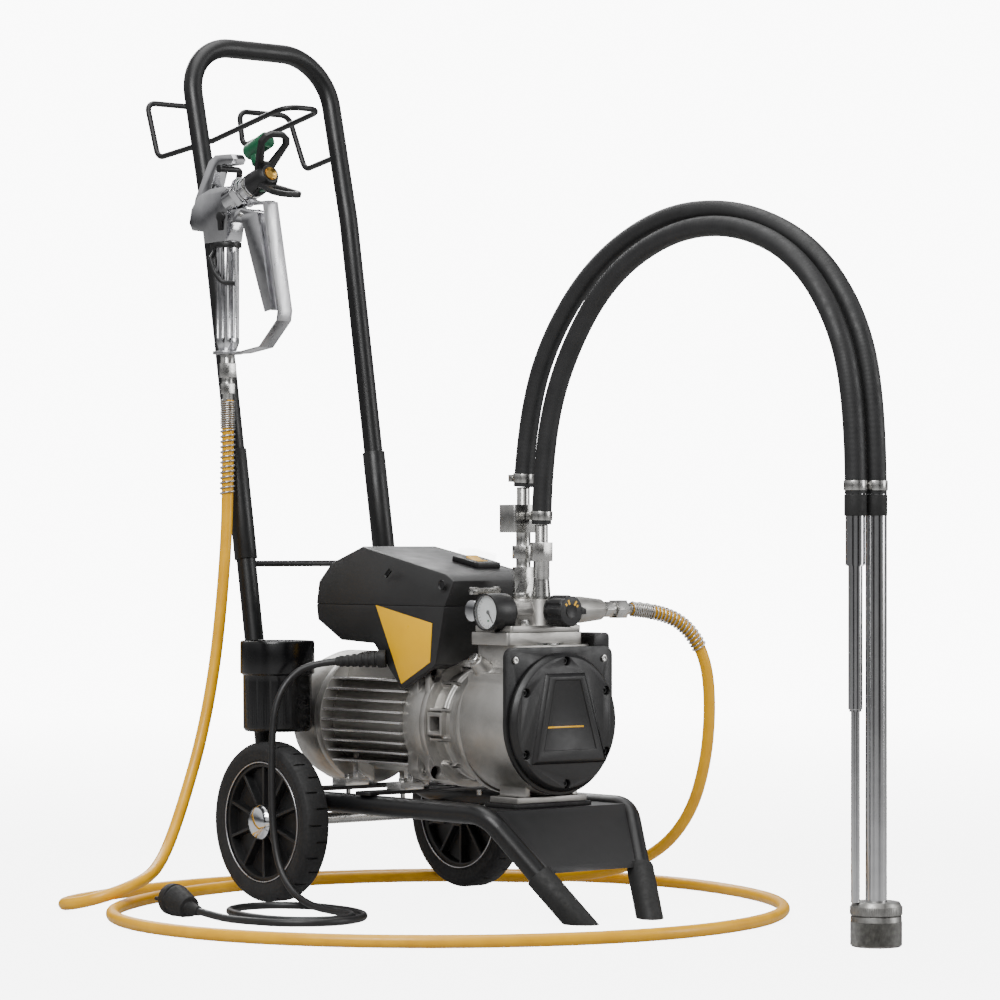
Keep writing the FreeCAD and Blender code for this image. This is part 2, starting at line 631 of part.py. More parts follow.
def make_bell():
    bell_rear = 59 - FIT
    steps = [(0, -26), (84, -26), (84, -17), (78, -12), (75, 1), (75, 6), (68, 9), (68, 20), (72, 22),
             (72, 27), (66, 30), (66, 50), (0, 50)]
    outer = [y_rod(49, bell_rear, 80), lathe(steps, (0, 0, SHAFT_Z), (0, 1, 0))]
    outer.append(block(-76, -50, 20, 48, SHAFT_Z - 13, SHAFT_Z + 15))
    for i in range(12):
        web = block(-2, 2, 5, 52, SHAFT_Z + 56, SHAFT_Z + 72)
        outer.append(rotated(web, shaft_point(0), (0, 1, 0), 30.0 * i + 15))
    outer.append(square_flange(50, bell_rear))
    bell = joined(outer)
    bell = bell.cut(y_rod(-30, 70, 50))
    window = block(-90, -40, 24.5, 44, SHAFT_Z - 8, SHAFT_Z + 10)
    bell = bell.cut(window)
    for sx in (-1, 1):
        for sz in (-1, 1):
            bell = bell.cut(y_rod(27, 70, 7.5, FLANGE_BOLT * sx, FLANGE_BOLT * sz))
    put("bell_housing", max(bell.Solids, key=lambda s: s.Volume))


def make_oil_housing():
    rear, front = PUMP_REAR_Y, PUMP_FRONT_Y
    top = HEAD_LOW_Z - FIT
    body = [pump_rod(front, rear, PUMP_R), block(-74, 62, front, rear, PUMP_Z, 292),
            block(-58, 58, front + 8, rear, PUMP_Z, top), block(40, PUMP_R - 2, front, front + 22, 240, 316)]
    foot_low = SHIELD_TOP_Z + PUMP_FOOT_PAD + FIT
    body.append(block(-56, 56, -100, -48, foot_low, foot_low + 8))
    body.append(block(-40, 40, -80, -66, foot_low, 165))
    for x in (-38, 38):
        body.append(block(x - 4, x + 4, -98, -50, foot_low, 168))
    plug_dir = V(-0.75, 0, 0.661).normalize()
    boss_end = V(-77, -46, 308)
    body.append(rod(boss_end - plug_dir * 44, boss_end, 19, 9))
    housing = joined(body)
    cavity = pump_rod(front + 12, rear - 12, 68)
    bore = rod((0, -74, 250), (0, -74, top + 1), 18)
    housing = housing.cut(cavity).cut(bore).cut(y_rod(-60, 0, SHAFT_R + 1.5))
    housing = housing.cut(rod(boss_end - plug_dir * 16, boss_end + plug_dir, 6))
    put("oil_housing", housing)
    cap = [rod(boss_end + plug_dir * FIT, boss_end + plug_dir * 4, 7.5),
           rod(boss_end + plug_dir * 4, boss_end + plug_dir * 5.5, 7.5, 6),
           rod(boss_end - plug_dir * 14, boss_end + plug_dir, 6 - FIT)]
    FITTINGS.append(joined(cap))


def make_eccentric():
    y0, y1 = ECCENTRIC_Y
    disc = y_rod(y0, y1, ECCENTRIC_R, 0, ECCENTRIC_THROW)
    return disc.cut(y_rod(y0 - 1, y1 + 1, SHAFT_R + FIT))


def make_pump_inside():
    shoe_z = SHAFT_Z + ECCENTRIC_R + ECCENTRIC_THROW + 0.6
    piston = joined([rod((0, -74, shoe_z), (0, -74, shoe_z + 6), 17.6),
                     rod((0, -74, shoe_z + 5), (0, -74, HEAD_LOW_Z - 8), 12)])
    disc = rod((0, -74, HEAD_LOW_Z), (0, -74, HEAD_LOW_Z + 2), 30 - FIT)
    put("pump_piston", group([piston, disc]))


PLATE_THICK = 5.0
COVER_FACE_Y = PUMP_FRONT_Y - FIT - PLATE_THICK - 11
COVER_SCREW_ANGLES = (90, 30, -30, -90, -150, 150)
COVER_R = 84.0
SCREW_RING_R = 74.0


def make_front_covers():
    back = PUMP_FRONT_Y - FIT
    face = back - PLATE_THICK
    left, right, top = -PUMP_R, PUMP_R - 4, 324.0
    plate = joined([pump_rod(face, back, PUMP_R), block(left, right, face, back, PUMP_Z, top)])
    corners = [e for e in plate.Edges if along("y")(e) and abs(e.CenterOfMass.z - top) < 1]
    plate = plate.makeFillet(12, corners)
    cover_face = COVER_FACE_Y
    cover = lathe([(0, 0), (COVER_R, 0), (COVER_R, 5), (COVER_R - 5, 11), (0, 11)],
                  (0, face - FIT, PUMP_Z), (0, -1, 0))
    panel = [(-34, 292), (28, 292), (62, 184), (-56, 184)]
    frame = xz_plate(panel, cover_face - 4.5, cover_face + 1)
    edges = [e for e in frame.Edges if abs(e.CenterOfMass.y - (cover_face - 4.5)) < 0.1]
    frame = frame.makeChamfer(3.8, edges)
    inset = [(-22, 284), (18, 284), (44, 200), (-40, 200)]
    cover = cover.fuse(frame).cut(xz_plate(inset, cover_face - 6, cover_face - 3.4)).removeSplitter()
    screws = []
    for angle in COVER_SCREW_ANGLES:
        dx = SCREW_RING_R * math.cos(math.radians(angle))
        dz = SCREW_RING_R * math.sin(math.radians(angle))
        cover = cover.cut(pump_rod(cover_face - 6, face - 4, 5.5, dx, dz))
        cover = cover.cut(pump_rod(face - 5, face + 1, 2.8, dx, dz))
        plate = plate.cut(pump_rod(face - 1, back + 1, 2.8, dx, dz))
        head = pump_rod(face - 7, face - 4 - FIT, 4.3, dx, dz)
        hollow = hexagon((dx, face - 8, PUMP_Z + dz), (dx, face - 5, PUMP_Z + dz), 4)
        screws.append(head.fuse(pump_rod(face - 4.5, back - FIT, 2.5, dx, dz)).cut(hollow))
    put("front_cover", cover)
    for x in (left + 15, right - 15):
        head = rod((x, face - FIT, top - 15), (x, face - 2.5, top - 15), 4.2)
        hollow = rod((x, face - 1.4, top - 15), (x, face - 3, top - 15), 1.8)
        screws.append(head.cut(hollow))
    SCREWS.extend(screws)
    box = block(58.3, 84, PUMP_FRONT_Y + 0.5, -72, 316.3, 340)
    box = softened(box, 6, along("y"))
    pointer = yz_plate([(-92, PORT_Z - 5), (-80, PORT_Z - 5), (-80, PORT_Z + 5), (-92, PORT_Z + 2)],
                       38.5, 62)
    pointer = pointer.cut(PARTS["manifold"])
    put("cover_plate", group([plate, box, max(pointer.Solids, key=lambda s: s.Volume)]))


PUSHER_Y = -30.0
GAUGE_Y = -68.0
GAUGE_BACK_X = -44.0
BLEED_Y, BLEED_Z = -22.0, 391.0   # bleed screw behind the pump's outlet


def make_head():
    y0, y1 = -96.0, -26.0
    lower = block(-HEAD_HALF_X + 12, HEAD_HALF_X - 28, y0, y1, HEAD_LOW_Z, HEAD_SEAM_Z - FIT)
    lower = softened(lower, 4, along("z"))
    lower = lower.cut(rod((0, -74, HEAD_LOW_Z - 1), (0, -74, HEAD_LOW_Z + 2 + FIT), 30))
    put("pump_head", lower)
    top = MANIFOLD_TOP_Z
    slab = softened(block(-HEAD_HALF_X + 18, HEAD_HALF_X - 30, y0, y1, HEAD_SEAM_Z, HEAD_SEAM_Z + 8), 4,
                    along("z"))
    core = softened(block(-41, 50, -78, -27, HEAD_SEAM_Z + 4, top - 4), 8, along("z"))
    body = [slab, core, rod((2, -77, HEAD_SEAM_Z + 4), (2, -77, top), 15),
            rod((3, -42, top - 12), (3, -42, top), 15),
            rod((-44, OUTLET_Y - 8, PORT_Z), (10, OUTLET_Y - 8, PORT_Z), 12),
            rod((30, OUTLET_Y, PORT_Z), (78, OUTLET_Y, PORT_Z), 16.5),
            rod((78, OUTLET_Y, PORT_Z), (112, OUTLET_Y, PORT_Z), 16.5, 13)]
    manifold = joined(body)
    manifold = manifold.cut(rod((0, OUTLET_Y, PORT_Z), (113, OUTLET_Y, PORT_Z), 5))
    manifold = manifold.cut(rod((2, -77, HEAD_SEAM_Z + 12), (2, -77, top + 1), 6))
    manifold = manifold.cut(rod((3, -42, HEAD_SEAM_Z + 12), (3, -42, top + 1), 6))
    for x, y, low in ((-34, -88, HEAD_SEAM_Z + 8), (43, -88, HEAD_SEAM_Z + 8),
                      (28, -35, top - 4), (42, -35, top - 4)):
        SCREWS.append(hexagon((x, y, low + FIT), (x, y, low + 7), 10))
    y, z = BLEED_Y, BLEED_Z
    rail = [hexagon((-64, y, z), (-54, y, z), 9), rod((-56, y, z), (-26, y, z), 3.4),
            rod((-27, y, z), (-20, y, z), 5), rod((-22, y - 8, z - 21), (-22, y, z + 1), 3.4)]
    guide = ring((-38, PUSHER_Y, PORT_Z), (-53, PUSHER_Y, PORT_Z), 10, 6 + FIT)
    spindle = rod((KNOB_X, -76, PORT_Z), (KNOB_X, KNOB_BACK_Y - 18, PORT_Z), 5)
    manifold = joined([manifold, guide, spindle])
    manifold = manifold.cut(rod((-60, PUSHER_Y, PORT_Z), (-38, PUSHER_Y, PORT_Z), 6 + FIT))
    manifold = manifold.cut(rod((-90, GAUGE_Y, PORT_Z - 1), (GAUGE_BACK_X, GAUGE_Y, PORT_Z - 1), GAUGE_R + GAP))
    put("manifold", manifold)
    bleed = joined(rail).cut(manifold)
    FITTINGS.append(max(bleed.Solids, key=lambda s: s.Volume))


def make_gauge():
    face_x = -HEAD_HALF_X
    y, z = GAUGE_Y, PORT_Z - 1
    back_x = GAUGE_BACK_X - FIT
    case = lathe([(0, 0), (GAUGE_R - 4, 0), (GAUGE_R, 5), (GAUGE_R, back_x - face_x),
                  (GAUGE_R - 2.2, back_x - face_x), (GAUGE_R - 2.2, 30), (0, 30)],
                 (back_x, y, z), (-1, 0, 0))
    put("gauge_case", case)
    dial_x = back_x - 30 - FIT
    put("gauge_dial", rod((dial_x, y, z), (dial_x - 0.8, y, z), GAUGE_R - 2.2 - FIT))
    glass_x = face_x + 2.2
    CLEAR.append(rod((glass_x, y, z), (glass_x - 1.5, y, z), GAUGE_R - 2.2 - FIT))
    nx = dial_x - 0.8 - GAP
    needle = joined([rod((nx, y, z), (nx - 1.0, y, z), 2.4),
                     yz_plate([(y - 1.0, z), (y + 1.0, z), (y + 0.3, z - 16), (y - 0.3, z - 16)],
                              nx - 0.8, nx)])
    put("gauge_needle", rotated(needle, (nx, y, z), (1, 0, 0), -35))


def make_knob():
    x, z = KNOB_X, PORT_Z
    back_y, face_y = KNOB_BACK_Y, KNOB_BACK_Y - 32.5
    knob = lathe([(0, 0), (KNOB_R - 3, 0), (KNOB_R, 3), (KNOB_R, 29), (KNOB_R - 2, 32.5), (0, 32.5)],
                 (x, back_y, z), (0, -1, 0))
    for i in range(9):
        turn = math.radians(40 * i)
        px, pz = x + (KNOB_R + 3) * math.cos(turn), z + (KNOB_R + 3) * math.sin(turn)
        knob = knob.cut(rod((px, back_y - 6, pz), (px, face_y - 1, pz), 5))
    knob = knob.cut(rod((x, back_y + 1, z), (x, back_y - 20, z), 5 + FIT))
    put("pressure_knob", knob)


def make_pusher():
    """Spring-returned button that frees a stuck inlet valve."""
    y, z = PUSHER_Y, PORT_Z
    button = joined([rod((-59, y, z), (-70, y, z), 13), rod((-60, y, z), (-46, y, z), 6)])
    put("inlet_pusher", button)


def make_stubs():
    x, y = 2.0, -77.0
    z0 = MANIFOLD_TOP_Z + FIT
    FITTINGS.append(joined([rod((x, y, z0), (x, y, 407), 11.5, 9.5), rod((x, y, 407), (x, y, 427), 10),
                               hexagon((x, y, 427), (x, y, 450), 25), rod((x, y, 450), (x, y, 471.4), 8)]))
    x, y = 3.0, -42.0
    valve = softened(block(-24, 31, -57, -27, 462, 496), 3, along("z"))
    FITTINGS.append(joined([rod((x, y, z0), (x, y, 388), 13.5), hexagon((x, y, 388), (x, y, 420), 24),
                                rod((x, y, 420), (x, y, 463), 9), hexagon((x, y, 430), (x, y, 446), 25),
                                valve, rod((x, y, 496), (x, y, 517.4), 8)]))
    clamps = []
    for route in (RETURN_ROUTE, SUCTION_ROUTE):
        a, b = vec(route[0]), vec(route[1])
        up = (b - a).normalize()
        clamps.append(worm_clamp(a + up * 5, a + up * 16))
    for route in (SUCTION_ROUTE, RETURN_ROUTE):
        x, y, z = route[-1]
        clamps.append(ring((x, y, z + 4), (x, y, z + 15), SUCTION_HOSE_R + 1.1, SUCTION_HOSE_R + FIT))
    put("hose_clamps", group(clamps))


def worm_clamp(p0, p1):
    """Steel band with its screw housing, around a suction hose."""
    a, b = vec(p0), vec(p1)
    r = SUCTION_HOSE_R
    band = ring(a, b, r + 1.2, r + FIT)
    mid = (a + b) * 0.5
    box = block(mid.x - 9, mid.x + 9, mid.y + r + 0.6, mid.y + r + 7, mid.z - 4.5, mid.z + 4.5)
    screw = rod((mid.x + 8, mid.y + r + 3.8, mid.z), (mid.x + 15, mid.y + r + 3.8, mid.z), 3.4)
    housing = joined([box, screw]).cut(rod(a - (b - a), b + (b - a), r + FIT))
    return joined([band, housing])


def make_outlet():
    y, z = OUTLET_Y, PORT_Z
    fitting = [rod((112.05, y, z), (122, y, z), 9), hexagon((116, y, z), (128, y, z), 19),
               rod((128, y, z), (140, y, z), 8.5), hexagon((134, y, z), (152, y, z), 22),
               rod((152, y, z), (OUTLET_END_X - 0.9, y, z), 7)]
    FITTINGS.append(joined(fitting))
    put("pump_fittings", group(FITTINGS))


# ---------------------------------------------------------------- control box
BOX_PROFILE = [(196, 445), (252, 424), (270, 400), (262, 352), (214, 327), (148, 324), (92, 268.5),
               (27, 300), (1.5, 403), (20, 411)]
BOX_HALF = 80.0
BOX_TOP_HALF = 58.0
BOX_SPLIT_Z = 372.0


def box_shape(inset):
    face = polygon([(-BOX_HALF - 1, y, z) for y, z in BOX_PROFILE])
    if inset > 0:
        face = face.makeOffset2D(-inset)
    body = face.extrude(V(2 * BOX_HALF + 2, 0, 0))
    wide, narrow = BOX_HALF - inset, BOX_TOP_HALF - inset
    section = [(-wide, 200), (wide, 200), (wide, BOX_SPLIT_Z), (narrow, 452), (-narrow, 452),
               (-wide, BOX_SPLIT_Z)]
    return body.common(xz_plate(section, -40, 320))


def make_control_box():
    outer = box_shape(0.0)
    inner = box_shape(WALL)
    saddle = [y_rod(-40, 340, FIN_R + 1.5), block(-69, 69, -40, 340, 150, 285)]
    base_cut = outer.cut(inner)
    floor = outer.common(block(-BOX_HALF, BOX_HALF, -40, 320, 300, 303))
    shell = joined([base_cut, floor])
    shell = shell.cut(joined(saddle))
    shell = shell.cut(block(-200, 200, -40, -20, 200, 500))
    reach = FLANGE_HALF + 1
    shell = shell.cut(block(-reach, reach, 40, 96, 150, SHAFT_Z + reach))
    shell = shell.cut(y_rod(40, 96, 80.5))
    low_part = shell.common(block(-200, 200, -50, 400, 100, BOX_SPLIT_Z - FIT))
    top_part = shell.common(block(-200, 200, -50, 400, BOX_SPLIT_Z, 500))
    base = max(low_part.Solids, key=lambda s: s.Volume)
    lid = max(top_part.Solids, key=lambda s: s.Volume)
    slope = math.degrees(math.atan2(445 - 411, 196 - 20))
    y_s = 78.0
    z_s = 411 + (y_s - 20) * math.tan(math.radians(slope))
    seat = V(28, y_s, z_s)

    def on_roof(shape):
        return rotated(shape, seat, (1, 0, 0), slope)

    cx, cy, cz = seat.x, seat.y, seat.z
    lid = lid.cut(on_roof(block(cx - 13, cx + 13, cy - 17, cy + 17, cz - 20, cz + 5)))
    put("control_base", base)
    put("control_lid", lid)
    frame = softened(block(cx - 20, cx + 20, cy - 25, cy + 25, cz + FIT, cz + 7), 3, along("z"))
    well = block(cx - 12.5, cx + 12.5, cy - 16.5, cy + 16.5, cz - 15, cz + 1)
    frame = joined([frame, well])
    frame = frame.cut(block(cx - 9, cx + 9, cy - 14, cy + 14, cz - 12, cz + 8))
    put("switch_frame", on_roof(frame))
    rocker = yz_plate([(cy - 11.5, cz + 9), (cy, cz + 6.5), (cy + 11.5, cz + 9), (cy + 11, cz + 1),
                       (cy + 4, cz - 5), (cy - 4, cz - 5), (cy - 11, cz + 1)], cx - 8.4, cx + 8.4)
    rocker = rotated(rocker, (cx, cy, cz + 1), (1, 0, 0), 6)
    put("switch_rocker", on_roof(rocker))
    cap = softened(block(cx - 16, cx + 16, cy - 21, cy + 21, cz + 7 + FIT, cz + 17), 4, along("z"))
    cap = cap.cut(block(cx - 14, cx + 14, cy - 19, cy + 19, cz + 6, cz + 15.4))
    CLEAR.append(on_roof(cap))
    put("clear_covers", group(CLEAR))
    panel = [(142.6, 371.9), (32, 351), (36, 303), (92, 275)]
    near = yz_plate(panel, -BOX_HALF - 0.9, -BOX_HALF - FIT)
    trim = block(-34, 24, COVER_FACE_Y - 3.9, COVER_FACE_Y - 3.4 - FIT, 227.0, 229.0)
    put("yellow_panels", group([near, mirrored(near), trim]))


RELIEF_START = V(-81, 119, 306)
RELIEF_RINGS = 6


def make_strain_relief():
    end = vec(CABLE_ROUTE[0])
    way = (end - RELIEF_START).normalize()
    end = end - way * 0.6
    length = (end - RELIEF_START).Length
    body = [rod(RELIEF_START + way * 1.5, end, 9, 5.8),
            rod(RELIEF_START + way * 1.5, RELIEF_START + way * 12, 11)]
    pitch = (length - 16) / RELIEF_RINGS
    for i in range(RELIEF_RINGS):
        s = 15 + pitch * i
        body.append(rod(RELIEF_START + way * s, RELIEF_START + way * (s + pitch * 0.55), 10 - 0.6 * i))
    relief = joined(body).cut(block(-BOX_HALF - FIT, 0, 0, 250, 200, 420))
    put("strain_relief", max(relief.Solids, key=lambda s: s.Volume))


# ---------------------------------------------------------------- spray gun
def gun_axis(t, n=0.0, x=GUN_X):
    """Point on the gun: t along the barrel from its root, n square to it."""
    a = math.radians(BARREL_TILT)
    root = V(x, 352, 888)
    return root + V(0, -math.cos(a), math.sin(a)) * t + V(0, math.sin(a), math.cos(a)) * n


def gun_plate(points, half):
    return yz_plate(points, GUN_X - half, GUN_X + half)


PIVOT_Y, PIVOT_Z = 322.0, 866.0    # trigger pin
PIVOT_R = 3.0
LOCK_Y, LOCK_Z = 362.0, 866.0      # safety lever's pin


def make_gun():
    grip_low, grip_high = 695.0, 834.0
    grip = [rod((GUN_X, GRIP_Y, grip_low + 10), (GUN_X, GRIP_Y, grip_high), GRIP_R),
            rod((GUN_X, GRIP_Y, grip_low), (GUN_X, GRIP_Y, grip_low + 10), 11.5, GRIP_R)]
    grip = joined(grip)
    for i in range(12):
        turn = math.radians(30 * i)
        fx = GUN_X + (GRIP_R + 0.8) * math.cos(turn)
        fy = GRIP_Y + (GRIP_R + 0.8) * math.sin(turn)
        grip = grip.cut(rod((fx, fy, grip_low + 16), (fx, fy, grip_high - 14), 2.2))
    grip = grip.cut(rod((GUN_X, GRIP_Y, grip_low - 1), (GUN_X, GRIP_Y, grip_high - 20), 5))
    z0 = grip_high + FIT
    lower = gun_plate([(353, z0), (400, z0), (403, 849), (426, 852), (433, 862), (428, 880), (412, 896),
                       (385, 903), (352, 904), (340, 884), (346, 862)], 13)
    hook = gun_plate([(430, 870), (424, 893), (394, 939), (380, 946), (346, 945), (340, 938), (345, 932),
                      (368, 932), (379, 927), (388, 905), (396, 890)], 10)
    barrel = [rod(gun_axis(-6), gun_axis(30), 17), rod(gun_axis(30), gun_axis(46), 15),
              hexagon(gun_axis(16), gun_axis(27), 36)]
    y, z = PIVOT_Y, PIVOT_Z
    lug = rod((GUN_X - 11, y, z), (GUN_X + 11, y, z), 8)
    lug = lug.fuse(block(GUN_X - 9, GUN_X + 9, y, y + 28, z - 6, z + 8))
    body = joined([lower, hook] + barrel)
    body = body.cut(block(GUN_X - 30, GUN_X + 30, y - 22, y + 27, z - 24, z + 8.5))
    lug = lug.cut(rod((GUN_X - 40, y, z), (GUN_X + 40, y, z), PIVOT_R + GAP))
    body = joined([body, lug])
    put("gun_body", group([body, grip]))

    flange = [(y + 16, z - 8), (y + 10, z + 4), (y - 4, z + 8), (285, z), (256, 742), (270, 740),
              (300, 812), (y - 6, z - 12)]
    half = 13.5
    blade = gun_plate(flange, half)
    inside = gun_plate([(360, z - 14), (345, z + 16), (y - 4, z + 16), (287.5, z - 2), (259, 745),
                        (262, 725), (300, 720), (360, 800)], half - 1.8)
    blade = blade.cut(inside)
    pin = rod((GUN_X - 15, y, z), (GUN_X + 15, y, z), PIVOT_R)
    blade = blade.cut(rod((GUN_X - 16, y, z), (GUN_X + 16, y, z), PIVOT_R))
    put("trigger", blade)

    t = 1.6
    strip = [(278, z + 14), (274, z + 14), (243.5, 741), (246, 728), (284, 696), (331, 690.5),
             (349, 690.5), (349, 690.5 + t), (332, 690.5 + t), (285, 697.8), (248.5, 729), (246.5, 740)]
    guard = gun_plate(strip, 11)
    collar = ring((GUN_X, GRIP_Y, 690.5), (GUN_X, GRIP_Y, 694.5), 19, 8)
    arm = gun_plate([(271, z + 11), (y - 6, z + 12), (y - 8, z + 20), (296, z + 15.5), (272, z + 15)], 5)
    guard = joined([guard, collar, arm]).cut(rod(gun_axis(-10), gun_axis(90), 17 + FIT))
    guard = guard.cut(hexagon(gun_axis(15.9), gun_axis(27.1), 36.2))
    put("trigger_guard", max(guard.Solids, key=lambda s: s.Volume))

    clip_z = grip_high - 7
    band = ring((GUN_X, GRIP_Y, clip_z), (GUN_X, GRIP_Y, clip_z + 6.5), GRIP_R + 3, GRIP_R + FIT)
    rear = gun_plate([(382, clip_z + 6.5), (398, clip_z + 6.5), (396, clip_z - 6), (388, clip_z - 12),
                      (382, clip_z - 10)], 6)
    tongue = bent_bar([(GUN_X - 4, GRIP_Y + 21, clip_z - 2), (GUN_X - 17, GRIP_Y + 14, clip_z - 14),
                       (GUN_X - 19.5, GRIP_Y + 2, clip_z - 32), (GUN_X - 19, GRIP_Y - 12, clip_z - 45),
                       (GUN_X - 5, GRIP_Y - 21, clip_z - 47)], [10, 20, 10], 3)
    clip = joined([band, rear, tongue])
    clip = clip.cut(rod((GUN_X, GRIP_Y, 700), (GUN_X, GRIP_Y, 834), GRIP_R + FIT))
    put("grip_clip", max(clip.Solids, key=lambda s: s.Volume))

    x = GUN_X - 13 - GAP
    lock = joined([rod((x, LOCK_Y, LOCK_Z), (x - 4, LOCK_Y, LOCK_Z), 6),
                   yz_plate([(LOCK_Y - 4, LOCK_Z), (LOCK_Y + 4, LOCK_Z), (LOCK_Y + 2, LOCK_Z - 18),
                             (LOCK_Y - 2, LOCK_Z - 18)], x - 4, x - 1)])
    put("trigger_lock", lock)

    swivel = [hexagon((GUN_X, GRIP_Y, 661), (GUN_X, GRIP_Y, 679), 21), rod((GUN_X, GRIP_Y, 678),
              (GUN_X, GRIP_Y, 690.4), 9.5), rod((GUN_X, GRIP_Y, 640), (GUN_X, GRIP_Y, 662), 8),
              hexagon((GUN_X, GRIP_Y, 640), (GUN_X, GRIP_Y, 653), 18),
              rod((GUN_X, 366, 632.1), (GUN_X, 366, 641), 7)]
    put("gun_fittings", group([joined(swivel), pin]))


def make_tip():
    """Guard with two wings, a reversible tip through it and the tip's grip."""
    core = rod(gun_axis(46 + GAP), gun_axis(76), 16.5, 15.5)
    ring_part = rod(gun_axis(76), gun_axis(82), 15.5, 12)
    core = joined([core, ring_part])
    wings = []
    for sign in (-1, 1):
        wings.append(guard_wing(sign))
    guard = joined([core] + wings)
    guard = guard.cut(rod(gun_axis(62, -40), gun_axis(62, 40), 6 + FIT))
    guard = guard.cut(rod(gun_axis(74), gun_axis(85), 8))
    put("tip_guard", guard)
    stem = [rod(gun_axis(62, -15), gun_axis(62, 34), 6), rod(gun_axis(62, 22), gun_axis(62, 34), 8),
            rod(gun_axis(50, 43), gun_axis(90, 43), 11)]
    put("spray_tip", joined(stem))


WING_FLARE = 36.0             # degrees from the barrel
WING_REACH = 56.0
WING_HALF = 23.0


def guard_wing(sign):
    """Open wing: a flat frame with rounded corners that flares out from the barrel."""
    a = math.radians(sign * WING_FLARE)
    root = gun_axis(68, sign * 10)
    barrel = (gun_axis(1) - gun_axis(0)).normalize()
    up = (gun_axis(0, 1) - gun_axis(0)).normalize()
    way = barrel * math.cos(a) + up * math.sin(a)
    side = V(1, 0, 0)
    normal = way.cross(side).normalize()

    def at(u, v):
        return root + way * u + side * v

    tall, wide = WING_REACH, WING_HALF
    bar = 6.5
    right = [at(tall - 14, wide), at(tall - 5, wide - 4), at(tall, wide - 12)]
    left = [at(tall, 12 - wide), at(tall - 5, 4 - wide), at(tall - 14, -wide)]
    outer = [at(0, -12), at(0, 12)] + right + left
    low, high = 13, tall - bar
    inner = [at(low, -5), at(low, 5), at(high - 10, wide - bar - 1), at(high - 2, wide - bar - 5),
             at(high, wide - bar - 11), at(high, 11 + bar - wide), at(high - 2, 5 + bar - wide),
             at(high - 10, 1 + bar - wide)]
    plate = polygon(outer).extrude(normal * 7)
    hole = polygon(inner).extrude(normal * 9)
    hole.translate(normal * -1)
    plate.translate(normal * -3.5)
    hole.translate(normal * -3.5)
    return plate.cut(hole)


# ---------------------------------------------------------------- hoses, cable, pipes
def sleeve_on(route, count, outer, inner):
    pts = [vec(p) for p in route]
    radii = cord_radii(pts)
    part, bends = pts[:count], radii[:count - 2]
    part[-1] = (part[-2] + part[-1]) * 0.5
    path = turned(part, bends)
    over = sweep(path, part[0], part[1] - part[0], outer)
    under = sweep(path, part[0], part[1] - part[0], inner)
    return over.cut(under)


def make_cords():
    put("spray_hose", cord("high-pressure hose", SPRAY_ROUTE, SPRAY_HOSE_R))
    put("power_cable", cord("power cable", CABLE_ROUTE, CABLE_R))
    put("suction_hose", cord("suction hose", SUCTION_ROUTE, SUCTION_HOSE_R))
    put("return_hose", cord("return hose", RETURN_ROUTE, SUCTION_HOSE_R))
    guard = sleeve_on(SPRAY_ROUTE, 3, SPRAY_HOSE_R + 2.8, SPRAY_HOSE_R + FIT)
    keep = block(-300, 0, 200, 500, 505, 700)
    guards = [guard.common(keep).Solids[0]]
    guards.append(sleeve_on(list(reversed(SPRAY_ROUTE)), 4, SPRAY_HOSE_R + 2.8, SPRAY_HOSE_R + FIT))
    put("hose_guards", group(guards))


def make_pipes():
    sx, sy = SUCTION_ROUTE[-1][0], SUCTION_ROUTE[-1][1]
    rx, ry = RETURN_ROUTE[-1][0], RETURN_ROUTE[-1][1]
    top = SUCTION_ROUTE[-1][2] - 0.1
    suction = ring((sx, sy, 42), (sx, sy, top), PIPE_R, PIPE_R - 1.2)
    outline = [(RETURN_R + 3, 425), (RETURN_R + 3, top), (RETURN_R + 1.8, top), (RETURN_R + 1.8, 424),
               (RETURN_R - 1.2, 424), (RETURN_R - 1.2, 262), (3.8, 262), (3.8, 50), (5, 50), (5, 263),
               (RETURN_R, 265), (RETURN_R, 425)]
    put("pickup_pipes", group([suction, lathe(outline, (rx, ry, 0), (0, 0, 1))]))
    collar = lathe([(PIPE_R + FIT, 34.1), (27, 34.1), (29, 36), (29, 44), (26, 49.9), (PIPE_R + FIT, 49.9)],
                   (sx, sy, 0), (0, 0, 1))
    basket = lathe([(0, 0), (27, 0), (28.5, 2), (28.5, 34), (24, 34), (24, 3), (0, 3)], (sx, sy, 0),
                   (0, 0, 1))
    put("inlet_filter", group([collar, basket]))


def make_plug():
    end = vec(CABLE_ROUTE[-1])
    start = vec(CABLE_ROUTE[-2])
    way = (end - start).normalize()
    level = V(way.x, way.y, 0).normalize()
    a = end + way * 0.05
    body = [rod(a, a + way * 24, 5.6, 9), rod(a + way * 22, V(end.x, end.y, 19) + level * 52, 14, 19)]
    base = V(end.x, end.y, 19) + level * 51
    body.append(rod(base, base + level * 12, 19))
    plug = joined(body).cut(block(-600, 0, 0, 400, -50, 0))
    plug = plug.cut(rod(start, a, CABLE_R + 2).common(rod(start, a, 30)))
    face = base + level * 12
    side = level.cross(V(0, 0, 1)).normalize()
    pins = [rod(face + side * s + level * FIT, face + side * s + level * 19, 2.4) for s in (-9.5, 9.5)]
    put("plug", group([plug] + pins))


